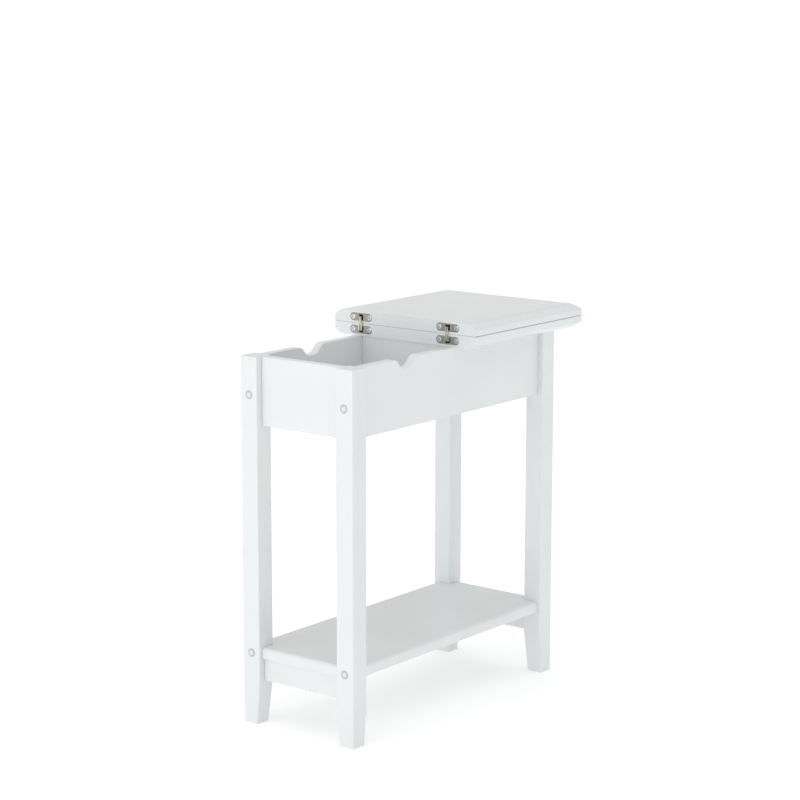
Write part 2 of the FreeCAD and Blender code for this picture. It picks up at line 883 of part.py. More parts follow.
def mortise(body):
    """The two hinge pockets in the meeting edge: a shallow oval and a deep middle."""
    fit = size("cup_clearance")
    end_radius = size("cup_height") / 2 + fit
    half_straight = (size("cup_length") - size("cup_height")) / 2
    level = size("leaf_thickness") / 2
    flange_depth = size("cup_flange") + fit
    centres = [size("hinge_spacing") / 2 * side for side in SIDES]
    rounds = [(x + half_straight * side, level, end_radius) for x in centres for side in SIDES]
    drill(body, "y", 0, 1, flange_depth, rounds)
    straight = section(body, "y")
    middle = section(body, "y")
    half_width = size("cup_body_width") / 2 + fit
    half_height = size("cup_body_height") / 2 + fit
    for x in centres:
        rectangle(straight, x - half_straight, level - end_radius,
                  x + half_straight, level + end_radius)
        rectangle(middle, x - half_width, level - half_height, x + half_width, level + half_height)
    pocket(straight, flange_depth, 1)
    pocket(middle, size("cup_depth") + fit, 1)
    half_screws = size("cup_screw_spacing") / 2
    screws = [(x + half_screws * side, level, screw_hole) for x in centres for side in SIDES]
    drill(body, "y", 0, 1, size("cup_screw_length") + fit, screws)


def leaves():
    """The fixed leaf on the frame, and the lift leaf lying open on it, show face down."""
    fixed = leaf("fixed_top_leaf")
    place(fixed, 0, mid_y + face_y, rim_z)
    holes = [(block_mid_x * side, y - face_y, screw_hole)
             for side in SIDES for y in top_screws_y]
    drill(fixed, "z", 0, 1, block_screw_reach, holes)
    lift = leaf("lift_top_leaf")
    place(lift, 0, mid_y + face_y, open_leaf_z1, Y_AXIS, 180)
    pad_disc = rod("z", 0, 0, 0, size("pad_diameter") / 2, size("pad_thickness"))
    pad_x = (leg_x0 + leg_x1) / 2
    pad_y = mid_y + face_y + size("leaf_length") - size("pad_setback")
    pads = copies("bumper_pads", pad_disc, [(pad_x * side, pad_y, open_leaf_z1) for side in SIDES])
    return [fixed, lift, pads]


# ---------------------------------------------------------------- fasteners


def frame_bolts():
    """Bolts through the legs into barrel nuts, and the plugs that cover their heads."""
    head = rod("z", 0, 0, 0, size("bolt_head_diameter") / 2, size("bolt_head_height"))
    shank = rod("z", 0, 0, 0, size("bolt_diameter") / 2,
                size("bolt_head_height") + size("bolt_length"))
    socket = doc.addObject("Part::Prism", "socket")
    socket.Polygon = 6
    bind(socket, "Circumradius", size("bolt_socket_width") / root(as_size(3)))
    bind(socket, "Height", size("bolt_socket_depth"))
    bolt = cut("bolt_master", fuse("bolt_blank", [head, shank]), [socket])

    nut = new_body("nut_master")
    half = size("nut_length") / 2
    drawing = section(nut, "z", -half)
    circle(drawing, 0, 0, size("nut_diameter") / 2)
    pad(drawing, size("nut_length"))
    drill(nut, "y", -size("nut_diameter"), 1, THROUGH,
          [(0, 0, size("bolt_diameter") / 2 + size("pin_play"))])

    plug = new_body("plug_master")
    rim = size("plug_diameter") / 2
    stem = size("bolt_head_diameter") / 2
    dome = size("plug_dome")
    dome_radius = (rim * rim + dome * dome) / (dome * 2)
    corners = [(0, -size("plug_stem_length")), (stem, -size("plug_stem_length")),
               (stem, 0), (rim, 0), (0, dome)]
    drawing = outline(section(plug, "y"), corners, {3: (dome_radius, 1)})
    turned = plug.newObject("PartDesign::Revolution", "plug_turned")
    turned.Profile = drawing
    turned.ReferenceAxis = (drawing, ["V_Axis"])
    turned.Angle = 360
    doc.recompute()

    head_y = -leg_y0 - size("counterbore_depth") + size("bolt_head_height")
    nodes = []
    heights = (("upper", upper_bolt_z), ("lower", shelf_mid_z))
    for name, level in heights:
        spots = [(bolt_x * side, mid_y + head_y * end, level, X_AXIS, 90 * end)
                 for side in SIDES for end in SIDES]
        nodes.append(copies(f"{name}_leg_bolts", bolt, spots))
    nuts = [(bolt_x * side, mid_y + nut_y * end, upper_bolt_z, Y_AXIS, 90)
            for side in SIDES for end in SIDES]
    nuts += [(bolt_x * side, mid_y + nut_y * end, shelf_mid_z) for side in SIDES for end in SIDES]
    nodes.append(copies("barrel_nuts", nut, nuts))
    plugs = [(bolt_x * side, mid_y - leg_y0 * end, level, X_AXIS, -90 * end)
             for name, level in heights for side in SIDES for end in SIDES]
    nodes.append(copies("bolt_cover_plugs", plug, plugs))
    return nodes


def dowels():
    """Wooden dowels in the joints of the panels and the shelf rails."""
    dowel = new_body("dowel_master")
    drawing = section(dowel, "z", -size("dowel_length") / 2)
    circle(drawing, 0, 0, dowel_radius)
    pad(drawing, size("dowel_length"))
    ease(dowel, "Chamfer", size("dowel_chamfer"), lambda edge: near(edge.BoundBox.ZLength, 0))
    ends = [(leg_x0 * side, mid_y + end_mid_y * end, z, Y_AXIS, 90)
            for side in SIDES for end in SIDES for z in panel_dowels_z]
    sides = [(bolt_x * side, mid_y + leg_y1 * end, z, X_AXIS, 90)
             for side in SIDES for end in SIDES for z in side_dowels_z]
    middle = [(side_x0 * side, mid_y + divider_mid_y, z, Y_AXIS, 90)
              for side in SIDES for z in panel_dowels_z]
    rails = [(leg_x0 * side, mid_y + end_mid_y * end, z, Y_AXIS, 90)
             for side in SIDES for end in SIDES for z in rail_dowels_z]
    return [copies("panel_dowels", dowel, ends + sides + middle), copies("rail_dowels", dowel, rails)]


def cross_recess(level, toward):
    """Two crossed slots for the driver, sunk from a level along Z."""
    width = size("screw_recess_width")
    length = size("screw_recess_length")
    depth = size("screw_recess_depth")
    low = level if toward > 0 else as_size(level) - depth
    return [block(-length / 2, -width / 2, low, length, width, depth),
            block(-width / 2, -length / 2, low, width, length, depth)]


def countersunk_screw(name, length, head_diameter):
    """A countersunk screw: the head's face is at z = 0 and the shank runs up."""
    radius = size("screw_diameter") / 2
    head = cone(0, 0, 0, head_diameter / 2, radius, size("screw_head_height"))
    shank = rod("z", 0, 0, 0, radius, length)
    return cut(name, fuse(f"{name}_blank", [head, shank]), cross_recess(0, 1))


def wood_screws():
    """Screws of the cleats, of the bay's floor and of the blocks under the fixed leaf."""
    screw = countersunk_screw("screw_master", size("screw_length"), size("screw_head_diameter"))
    cleats = [(cleat_x0 * side, mid_y + y, cleat_screw_z, Y_AXIS, 90 * side)
              for side in SIDES for y in cleat_screws_y]
    floor = [(cleat_mid_x * side, mid_y + y, cleat_z0) for side in SIDES for y in floor_screws_y]
    block_x = side_x0 - size("block_section")
    across = [(block_x * side, mid_y + y, block_screw_z, Y_AXIS, 90 * side)
              for side in SIDES for y in side_screws_y]
    upright = [(block_mid_x * side, mid_y + y, rim_z - size("block_section"))
               for side in SIDES for y in top_screws_y]
    return [copies("cleat_screws", screw, cleats), copies("floor_screws", screw, floor),
            copies("top_fixing_screws", screw, across + upright)]


# ---------------------------------------------------------------- hinges


def hinge_cup():
    """A cup let into a meeting edge: its face is at y = 0 and its body runs up Y."""
    height = size("cup_height")
    half_straight = (size("cup_length") - height) / 2
    flange = size("cup_flange")
    solids = [rod("y", half_straight * side, 0, 0, height / 2, flange) for side in SIDES]
    solids.append(block(-half_straight, 0, -height / 2, half_straight * 2, flange, height))
    body_width = size("cup_body_width")
    body_height = size("cup_body_height")
    solids.append(block(-body_width / 2, 0, -body_height / 2,
                        body_width, size("cup_depth"), body_height))
    mouth_width = size("cup_mouth_width")
    mouth_height = size("cup_mouth_height")
    tools = [block(-mouth_width / 2, 0, -mouth_height / 2,
                   mouth_width, size("cup_mouth_depth"), mouth_height)]
    tools.append(rod("x", -size("cross_pin_length") / 2, size("link_reach"), 0,
                     size("cross_pin_diameter") / 2, size("cross_pin_length")))
    half_screws = size("cup_screw_spacing") / 2
    sink_hole = size("cup_screw_head_diameter") / 2 + size("screw_clearance")
    for side in SIDES:
        tools.append(rod("y", half_screws * side, 0, 0, screw_hole, flange))
        tools.append(rod("y", half_screws * side, 0, 0, sink_hole, size("screw_clearance")))
        sink = cone(0, 0, 0, sink_hole, screw_hole, screw_head_depth)
        tools.append(place(sink, half_screws * side, 0, 0, X_AXIS, -90))
    return cut("cup_master", fuse("cup_blank", solids), tools)


def hinge_plate(name, drop):
    """A cranked link: an eye on the hinge axis, an arm down and a foot back into the cup."""
    thick = size("link_thickness")
    arm = size("link_arm_width")
    foot_y = face_y + size("link_reach")
    solids = [
        rod("x", -thick / 2, 0, 0, size("link_eye_radius"), thick),
        block(-thick / 2, -arm / 2, -drop - arm / 2, thick, arm, drop + arm / 2),
        block(-thick / 2, -arm / 2, -drop - arm / 2, thick, arm / 2 + foot_y, arm),
        rod("x", -thick / 2, foot_y, -drop, size("link_foot_radius"), thick),
    ]
    play = size("pin_play")
    bores = [
        rod("x", -thick, 0, 0, size("hinge_pin_diameter") / 2 + play, thick * 2),
        rod("x", -thick, foot_y, -drop, size("cross_pin_diameter") / 2 + play, thick * 2),
    ]
    return cut(name, fuse(f"{name}_blank", solids), bores)


def hinges():
    """Two hinges: cups and screws in both meeting edges, links that cross the seam, and pins."""
    hinge_x = [size("hinge_spacing") / 2 * side for side in SIDES]
    pitch = size("link_thickness") + size("link_play")
    cup = hinge_cup()
    cup_y = mid_y + face_y
    screw = countersunk_screw("cup_screw_master", size("cup_screw_length"),
                              size("cup_screw_head_diameter"))
    half_screws = size("cup_screw_spacing") / 2
    screw_x = [x + half_screws * side for x in hinge_x for side in SIDES]
    pin_y = cup_y + size("link_reach")
    pin = rod("x", 0, 0, 0, size("cross_pin_diameter") / 2, size("cross_pin_length"))
    pin.Label = "cross_pin_master"
    pin_x = [x - size("cross_pin_length") / 2 for x in hinge_x]
    nodes = []
    halves = (("fixed", fixed_cup_z, (-2, 0, 2), 0), ("lift", lift_cup_z, (-1, 1), 180))
    for name, level, steps, turn in halves:
        nodes.append(copies(f"hinge_{name}_cups", cup, [(x, cup_y, level) for x in hinge_x]))
        nodes.append(copies(f"hinge_{name}_screws", screw,
                            [(x, cup_y, level, X_AXIS, -90) for x in screw_x]))
        nodes.append(copies(f"hinge_{name}_cross_pins", pin,
                            [(x, pin_y, level, Y_AXIS, 90) for x in pin_x]))
        drop = pivot_z - level if turn == 0 else level - pivot_z
        plate = hinge_plate(f"{name}_plate_master", drop)
        spots = [(x + pitch * step, mid_y, pivot_z, Y_AXIS, turn)
                 for x in hinge_x for step in steps]
        nodes.append(copies(f"hinge_{name}_links", plate, spots))
    pin_length = pitch * 4 + size("link_thickness") + size("link_play") * 2
    axle = rod("z", 0, 0, 0, size("hinge_pin_diameter") / 2, pin_length)
    nodes.append(copies("hinge_pins", axle,
                        [(x - pin_length / 2, mid_y, pivot_z, Y_AXIS, 90) for x in hinge_x]))
    return nodes


# ---------------------------------------------------------------- charging unit


def power_plate():
    """The face plate, flat on the bay's floor, with its openings and bevelled rim."""
    body = new_body("power_plate")
    half_x = size("plate_width") / 2
    half_y = size("plate_length") / 2
    top = size("plate_thickness")
    pad(rectangle(section(body, "z"), -half_x, -half_y, half_x, half_y), top)
    ease(body, "Fillet", size("plate_corner_radius"), long_corner(top))
    ease(body, "Chamfer", size("plate_bevel"), level_edge(top))
    fit = size("plate_fit")
    openings = section(body, "z", top)
    outlet_half_x = size("outlet_width") / 2 + fit
    outlet_half_y = size("outlet_length") / 2 + fit
    outlet_y = size("outlet_centre")
    rectangle(openings, -outlet_half_x, outlet_y - outlet_half_y,
              outlet_half_x, outlet_y + outlet_half_y)
    port_half_x = size("port_width") / 2 + fit
    port_half_y = size("port_height") / 2 + fit
    for y in ports_y():
        rectangle(openings, -port_half_x, y - port_half_y, port_half_x, y + port_half_y)
    circle(openings, size("light_offset_x"), -size("light_offset_y"),
           size("light_diameter") / 2 + fit)
    for end in SIDES:
        circle(openings, 0, size("plate_screw_spacing") / 2 * end, screw_hole)
    pocket(openings, THROUGH, -1)
    return body


def long_corner(height):
    def wanted(edge):
        return near(edge.BoundBox.ZLength, height.value)
    return wanted


def level_edge(level):
    def wanted(edge):
        return near(edge.BoundBox.ZMin, level.value) and near(edge.BoundBox.ZMax, level.value)
    return wanted


def ports_y():
    """The two charging ports' places along the plate."""
    return [-size("port_centre") + size("port_spacing") / 2 * step for step in SIDES]


def housing():
    """The open-topped box under the plate, inside the floor's cut-out."""
    body = new_body("power_housing")
    half_x = size("cutout_width") / 2 - size("housing_clearance")
    half_y = size("cutout_length") / 2 - size("housing_clearance")
    wall = size("housing_wall")
    low = -size("housing_depth")
    pad(rectangle(section(body, "z", low), -half_x, -half_y, half_x, half_y),
        size("housing_depth"))
    inside = rectangle(section(body, "z", 0), wall - half_x, wall - half_y,
                       half_x - wall, half_y - wall)
    pocket(inside, size("housing_depth") - wall, -1)
    drill(body, "y", half_y, -1, wall,
          [(0, -size("gland_drop"), size("gland_tube_diameter") / 2)])
    return body


def outlet():
    """The outlet's face: two blade slots and a round ground hole."""
    width = size("outlet_width")
    length = size("outlet_length")
    top = size("plate_thickness") + size("outlet_proud")
    centre_y = size("outlet_centre")
    face = block(-width / 2, centre_y - length / 2, -size("outlet_depth"),
                 width, length, size("outlet_depth") + top)
    slot_length = size("blade_slot_length")
    slot_width = size("blade_slot_width")
    depth = size("slot_depth")
    slot_x = -size("blade_slot_offset") - slot_length / 2
    tools = []
    for side in SIDES:
        slot_y = centre_y + size("blade_spacing") / 2 * side
        tools.append(block(slot_x, slot_y - slot_width / 2, top - depth,
                           slot_length, slot_width, depth))
    tools.append(rod("z", size("ground_hole_offset"), centre_y, top - depth,
                     size("ground_hole_diameter") / 2, depth))
    return cut("outlet_insert", face, tools)


def contacts():
    """Three spring contacts under the outlet's slots."""
    width = size("contact_width")
    length = size("contact_length")
    height = size("contact_height")
    low = -size("outlet_depth") - height
    centre_y = size("outlet_centre")
    clip = block(0, 0, 0, length, width, height)
    clip.Label = "contact_master"
    centres = [(-size("blade_slot_offset"), centre_y + size("blade_spacing") / 2 * side)
               for side in SIDES]
    centres.append((size("ground_hole_offset"), centre_y))
    spots = [(x - length / 2, bay_y + y - width / 2, floor_z1 + low) for x, y in centres]
    return copies("outlet_contacts", clip, spots)


def charging_unit():
    """The plate, what shows in it and what hangs under it in the floor's cut-out."""
    top = size("plate_thickness")
    plate = place(power_plate(), 0, bay_y, floor_z1)
    box = place(housing(), 0, bay_y, floor_z1)
    insert = named(outlet(), "outlet_insert", 0, bay_y, floor_z1)

    width = size("port_width")
    height = size("port_height")
    wall = size("port_wall")
    depth = size("port_depth")
    shell = cut("port_shell_master", block(-width / 2, -height / 2, top - depth, width, height, depth),
                [block(wall - width / 2, wall - height / 2, top - depth,
                       width - wall * 2, height - wall * 2, depth)])
    fit = size("pin_play")
    base = block(wall + fit - width / 2, wall + fit - height / 2, top - depth,
                 width - (wall + fit) * 2, height - (wall + fit) * 2, size("port_base_height"))
    tongue = block(-size("tongue_width") / 2, wall * 2 - height / 2, top - depth,
                   size("tongue_width"), size("tongue_height"), depth - size("tongue_setback"))
    tongue_piece = fuse("port_tongue_master", [base, tongue])
    spots = [(0, bay_y + y, floor_z1) for y in ports_y()]
    shells = copies("usb_port_shells", shell, spots)
    tongues = copies("usb_port_tongues", tongue_piece, spots)

    board_top = top - depth
    light_radius = size("light_diameter") / 2
    light = rod("z", size("light_offset_x"), bay_y - size("light_offset_y"), floor_z1 + board_top,
                light_radius, depth + size("light_proud"))
    light.Label = "status_light"

    board_y = size("board_end_gap") + size("housing_wall") + size("housing_clearance") \
        - size("cutout_length") / 2
    board = block(-size("board_width") / 2, bay_y + board_y,
                  floor_z1 + board_top - size("board_thickness"),
                  size("board_width"), size("board_length"), size("board_thickness"))
    board.Label = "charger_board"

    head = cone(0, 0, 0, size("pan_head_diameter") / 2, size("screw_head_diameter") / 2,
                size("pan_head_height"))
    shank_length = size("plate_screw_length") + top
    shank = rod("z", 0, 0, -shank_length, size("screw_diameter") / 2,
                shank_length + size("pan_head_height"))
    screw = cut("plate_screw_master", fuse("plate_screw_blank", [head, shank]),
                cross_recess(size("pan_head_height"), -1))
    screws = copies("power_plate_screws", screw,
                    [(0, bay_y + size("plate_screw_spacing") / 2 * end, floor_z1 + top)
                     for end in SIDES])

    wall_y = size("cutout_length") / 2 - size("housing_clearance")
    inner = size("housing_wall") + size("gland_flange_thickness")
    tube = rod("y", 0, -size("housing_wall"), 0, size("gland_tube_diameter") / 2,
               size("gland_tube_length"))
    flange = rod("y", 0, 0, 0, size("gland_flange_diameter") / 2, size("gland_flange_thickness"))
    bore = rod("y", 0, -inner, 0, size("gland_bore") / 2, size("gland_tube_length") + inner)
    gland = cut("cord_gland", fuse("gland_blank", [tube, flange]), [bore])
    named(gland, "cord_gland", 0, bay_y + wall_y, floor_z1 - size("gland_drop"))
    return [plate, box, insert, contacts(), shells, tongues, light, board, screws, gland]


# ---------------------------------------------------------------- the whole table


def build():
    """Make every piece and return the nodes."""
    write_sheet()
    front_right = leg()
    front_left = mirrored("leg_front_left", front_right, across_x=True)
    rear_right = mirrored("leg_rear_right", front_right)
    rear_left = mirrored("leg_rear_left", rear_right, across_x=True)
    nodes = [front_right, front_left, rear_right, rear_left]

    front_panel = cross_board("front_panel", end_y0, skirt_z, size("skirt_height"), panel_dowels_z)
    front_rail = cross_board("front_shelf_rail", end_y0, rail_z0, size("rail_height"), rail_dowels_z)
    right_panel = side_panel()
    right_cleat = cleat()
    nodes += [front_panel, mirrored("rear_panel", front_panel)]
    nodes += [front_rail, mirrored("rear_shelf_rail", front_rail)]
    nodes += [right_panel, mirrored("left_side_panel", right_panel, across_x=True)]
    nodes += [right_cleat, mirrored("floor_cleat_left", right_cleat, across_x=True)]
    nodes += [divider(), bay_floor(), fixing_blocks(), shelf()]
    nodes += leaves()
    nodes += frame_bolts()
    nodes += dowels()
    nodes += wood_screws()
    nodes += hinges()
    nodes += charging_unit()
    return nodes


def check(nodes):
    """Stop where a feature failed or a piece is empty or broken."""
    for thing in doc.Objects:
        if "Invalid" in thing.State or "Error" in thing.State:
            raise RuntimeError(f"{thing.Name} failed: {thing.State}")
    for node in nodes:
        shape = node.Shape
        if shape.isNull() or not shape.isValid() or not shape.Solids:
            raise RuntimeError(f"{node.Label} has no sound shape")


def write(nodes):
    """Write one file for each node, named after it."""
    os.makedirs("parts", exist_ok=True)
    for node in nodes:
        node.Shape.exportStep(os.path.join("parts", f"{node.Label}.step"))
        box = node.Shape.BoundBox
        print(f"{node.Label}: {len(node.Shape.Solids)} solids,"
              f" x {box.XMin:.1f}..{box.XMax:.1f}, y {box.YMin:.1f}..{box.YMax:.1f},"
              f" z {box.ZMin:.1f}..{box.ZMax:.1f}")


pieces = build()
doc.recompute()
check(pieces)
write(pieces)
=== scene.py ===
"""Looks of the narrow flip-top end table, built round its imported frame.

Metres, +Z up. The front end, where the storage bay opens, faces -Y.
"""
import json
import math

import bmesh
import bpy
from bpy.props import FloatProperty, FloatVectorProperty, IntProperty, PointerProperty
from mathutils import Matrix, Vector


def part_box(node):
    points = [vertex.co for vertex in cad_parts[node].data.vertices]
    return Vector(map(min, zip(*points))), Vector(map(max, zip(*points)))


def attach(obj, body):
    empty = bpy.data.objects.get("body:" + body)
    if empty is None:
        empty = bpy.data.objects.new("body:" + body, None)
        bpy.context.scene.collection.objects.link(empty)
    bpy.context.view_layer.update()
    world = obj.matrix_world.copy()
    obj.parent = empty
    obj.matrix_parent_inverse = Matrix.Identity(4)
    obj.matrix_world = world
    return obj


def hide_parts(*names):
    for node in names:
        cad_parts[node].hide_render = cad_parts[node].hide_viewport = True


bl_info = {
    "name": "Flip-top end table",
    "version": (1, 0, 0),
    "blender": (4, 5, 0),
    "location": "3D View > Sidebar > End table",
    "description": "Models the visible pieces of the end table and gives every piece its finish",
    "category": "Object",
}

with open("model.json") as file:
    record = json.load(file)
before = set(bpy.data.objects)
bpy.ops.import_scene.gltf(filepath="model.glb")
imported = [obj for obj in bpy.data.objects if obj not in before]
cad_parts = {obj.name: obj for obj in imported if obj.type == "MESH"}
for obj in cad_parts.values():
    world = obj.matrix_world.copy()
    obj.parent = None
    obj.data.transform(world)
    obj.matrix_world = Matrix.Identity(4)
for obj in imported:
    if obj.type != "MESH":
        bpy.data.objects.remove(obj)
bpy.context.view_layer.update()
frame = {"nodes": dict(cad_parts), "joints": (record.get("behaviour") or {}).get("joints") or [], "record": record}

BODY, LEAF = "table", "lift_leaf"
SIDES = (-1, 1)
WHITE = (1.0, 1.0, 1.0)
NEAR = 1e-5  # closer than this counts as the same level


# ---- settings


def length(name, description, default, high=1.0):
    return FloatProperty(name=name, description=description, default=default,
                         min=0.0, max=high, precision=5, unit="LENGTH")


def share(name, description, default):
    return FloatProperty(name=name, description=description, default=default,
                         min=0.0, max=1.0, subtype="FACTOR")


def strength(name, description, default):
    return FloatProperty(name=name, description=description, default=default, min=0.0, max=5.0)


def watts(name, description, default):
    return FloatProperty(name=name, description=description, default=default,
                         min=0.0, unit="POWER")


def colour(name, description, default):
    return FloatVectorProperty(name=name, description=description, default=default,
                               size=3, min=0.0, max=1.0, subtype="COLOR")


def settings(group):
    """The scene's settings of one group."""
    return getattr(bpy.context.scene, f"table_{group}")


class PaintSettings(bpy.types.PropertyGroup):
    """The white lacquer on legs, panels, shelf and leaves."""

    paint: colour("Lacquer", "Colour of the lacquer", (0.787, 0.808, 0.81))
    roughness: share("Roughness", "How matt the lacquer is", 0.34)
    coat: share("Clear coat", "Strength of the clear top coat", 0.18)
    peel: length("Orange peel", "Height of the sprayed lacquer's ripple", 0.000012, 0.001)
    pores: length("Pores", "Depth of the wood's pores under the lacquer", 0.00003, 0.001)


class WoodworkSettings(bpy.types.PropertyGroup):
    """Edges of the wooden pieces."""

    leg_edge: length("Leg edge", "Radius of the legs' long edges", 0.0015)
    foot_taper: length("Foot taper", "How far a foot's inner faces draw in", 0.0056)
    foot_height: length("Foot height", "Height at which the feet start to taper", 0.07)
    board_edge: length("Board edge", "Radius on the edges of the panels and rails", 0.0008)
    shelf_top_edge: length("Shelf top edge", "Radius on the shelf's upper edges", 0.005)
    leg_gap: length("Leg gap", "Gap between the shelf and the legs", 0.0003)
    shelf_under_edge: length("Shelf under edge", "Radius on the shelf's lower edges", 0.0012)
    leaf_band: length("Leaf band", "Upright band of the leaves' edges, from the show face", 0.01)
    leaf_reach: length("Leaf reach", "Width of the round under the leaves' edges", 0.0145)
    leaf_crease: FloatProperty(name="Leaf crease", description="Angle at which the round under "
                               "a leaf's edge meets the flat underside",
                               default=math.radians(18), min=0.0, max=0.6, subtype="ANGLE")
    leaf_corner: length("Leaf corner", "Radius of the leaves' corners in plan", 0.003)
    leaf_edge: length("Leaf edge", "Radius of the show face's edges", 0.0016)
    notch_radius: length("Notch curve", "Radius of the finger notch's curves", 0.017)
    notch_depth: length("Notch depth", "Depth of the finger notch", 0.0155)
    notch_flat: length("Notch flat", "Flat at the bottom of the finger notch", 0.009)
    notch_setback: length("Notch setback", "From the hinge line to the notch's middle", 0.122)


class HardwareSettings(bpy.types.PropertyGroup):
    """Hinge cups, screws, plugs and pads."""

    plug_dome: length("Plug dome", "Height of the cover plugs' domes", 0.0012)
    bolt_bore: length("Bolt hole", "Radius of the holes for the bolts' heads", 0.0061)
    plug_ring: length("Plug ring", "Width of the bevel round the bolt holes", 0.0009)
    bolt_sink: length("Bolt sinking", "Depth of the holes for the bolts' heads", 0.0055)
    bolt_head: length("Bolt head", "Radius of the bolts' heads", 0.006)
    cup_flange: length("Cup flange", "Thickness of the hinge cups' flanges", 0.0026)
    cup_edge: length("Cup edge", "Radius on the hinge cups' face edges", 0.0004)
    pocket_width: length("Cup body width", "Width of a hinge cup's body behind its flange", 0.022)
    pocket_height: length("Cup body height", "Height of a hinge cup's body", 0.0116)
    cup_mouth: length("Cup mouth", "Width of the opening for the links", 0.009)
    mouth_height: length("Mouth height", "Height of the opening for the links", 0.0094)
    screw_spacing: length("Cup screw spacing", "Between the two screws of a cup", 0.034)
    head_radius: length("Cup screw head", "Radius of the cup screws' heads", 0.0042)
    plug: colour("Plug", "Colour of the cover plugs' domes", (0.74, 0.75, 0.76))
    nickel: colour("Nickel", "Colour of the hinge cups", (0.35, 0.343, 0.33))
    brass: colour("Brass", "Colour of the hinge links", (0.84, 0.79, 0.64))
    zinc: colour("Zinc", "Colour of the plated screws", (0.66, 0.67, 0.70))


class ChargerSettings(bpy.types.PropertyGroup):
    """The charging unit's face."""

    moulding: colour("Plate", "Colour of the face plate", (0.765, 0.757, 0.745))
    insert: colour("Outlet", "Colour of the outlet's insert", (0.80, 0.80, 0.79))
    corner: length("Plate corner", "Radius of the plate's corners", 0.004)
    bevel: length("Plate bevel", "Width of the bevel round the plate", 0.0012)
    slot_length: length("Slot length", "Length of the outlet's blade slots", 0.008)
    slot_width: length("Slot width", "Width of the outlet's blade slots", 0.0022)
    blade_spacing: length("Blade spacing", "Between the two blade slots", 0.0127)
    blade_offset: FloatProperty(name="Slot offset", default=-0.0035, precision=5, unit="LENGTH",
                                description="From the outlet's middle to the slots")
    ground_offset: length("Ground offset", "From the outlet's middle to the ground hole", 0.008)
    ground_hole: length("Ground hole", "Width of the ground hole", 0.005)
    port_height: length("Port height", "Outer height of a charging port", 0.0058)
    shell_wall: length("Shell wall", "Thickness of a port's steel shell", 0.0004)
    port_base: length("Port base", "Height of the base in a charging port", 0.002)
    tongue_width: length("Tongue width", "Width of a port's tongue", 0.011)
    tongue_height: length("Tongue thickness", "Thickness of a port's tongue", 0.0018)
    screw_bore: length("Screw hole", "Width of the plate's screw holes", 0.0038)
    fit_gap: length("Fit gap", "Gap round what sits in the plate", 0.00015)
    contacts: IntProperty(name="Port contacts", description="Contact strips on each port's tongue",
                          default=4, min=1, max=12)


class StageSettings(bpy.types.PropertyGroup):
    """Floor, light and camera."""

    floor: colour("Floor", "Colour of the studio floor", (0.98, 0.98, 0.98))
    backdrop: strength("Backdrop", "Strength of the pale band behind it all", 0.93)
    horizon: strength("Horizon", "Strength of the light from all round", 0.40)
    zenith: strength("Zenith", "Strength of the light from overhead", 1.20)
    floor_glow: share("Floor glow", "Light given off by the lit floor", 0.20)
    key: watts("Key", "Power of the large front light", 12.5)
    fill: watts("Fill", "Power of the high light on the right", 2.0)
    lens: FloatProperty(name="Lens", description="Focal length of the camera",
                        default=105.77, min=1.0, unit="CAMERA")


# ---- finishes


def add(tree, kind, inputs=None, **options):
    """Add a shader node, set its options, and set or link its inputs."""
    made = tree.nodes.new(kind)
    for name, value in options.items():
        setattr(made, name, value)
    for name, value in (inputs or {}).items():
        if isinstance(value, bpy.types.NodeSocket):
            tree.links.new(value, made.inputs[name])
        else:
            made.inputs[name].default_value = value
    return made


def new_finish(name, base, roughness, metallic=0.0, **sockets):
    """A material with its even values on the shader; returns it, its tree and its shader."""
    material = bpy.data.materials.new(name)
    material.use_nodes = True
    material.diffuse_color = (*base, 1.0)
    tree = material.node_tree
    shader = tree.nodes["Principled BSDF"]
    shader.inputs["Base Color"].default_value = (*base, 1.0)
    shader.inputs["Roughness"].default_value = roughness
    shader.inputs["Metallic"].default_value = metallic
    for socket, value in sockets.items():
        shader.inputs[socket.replace("_", " ")].default_value = value
    return material, tree, shader


def vary(tree, shader, **results):
    """Let results drive the shader's inputs, which are named with underscores."""
    for socket, result in results.items():
        tree.links.new(result, shader.inputs[socket.replace("_", " ")])


def stretched(tree, scale=(1.0, 1.0, 1.0)):
    """Object coordinates with a scale for each axis."""
    where = add(tree, "ShaderNodeTexCoord").outputs["Object"]
    return add(tree, "ShaderNodeMapping", {"Vector": where, "Scale": scale}).outputs["Vector"]


def drawn_out(tree, fine, axis, coarse):
    """Object coordinates for a pattern that is fine but drawn out along one axis."""
    scale = [fine] * 3
    scale[axis] = coarse
    return stretched(tree, scale)


def cloud(tree, vector, scale, detail=2.0, roughness=0.5, distortion=0.0):
    """Soft random variation from 0 to 1."""
    return add(tree, "ShaderNodeTexNoise", {"Vector": vector, "Scale": scale, "Detail": detail,
                                            "Roughness": roughness,
                                            "Distortion": distortion}).outputs["Fac"]


def ramp(tree, factor, stops):
    """Colours along a factor: stops are (place, colour)."""
    made = add(tree, "ShaderNodeValToRGB", {"Fac": factor})
    elements = made.color_ramp.elements
    while len(elements) < len(stops):
        elements.new(0.5)
    for element, (place, tone) in zip(elements, stops):
        element.position = place
        element.color = (*tone, 1.0)
    return made.outputs["Color"]


def spread(tree, factor, low, high, start=0.3, end=0.7):
    """Carry a factor's middle range over to a range of values."""
    return add(tree, "ShaderNodeMapRange", {"Value": factor, "From Min": start, "From Max": end,
                                            "To Min": low, "To Max": high}).outputs["Result"]


def blend(tree, factor, one, other):
    """Go from one colour to another along a factor; a Mix node's colours are known by number."""
    made = add(tree, "ShaderNodeMix", data_type="RGBA")
    for place, value in ((0, factor), (6, one), (7, other)):
        if isinstance(value, bpy.types.NodeSocket):
            tree.links.new(value, made.inputs[place])
        else:
            made.inputs[place].default_value = (*value, 1.0)
    return made.outputs[2]


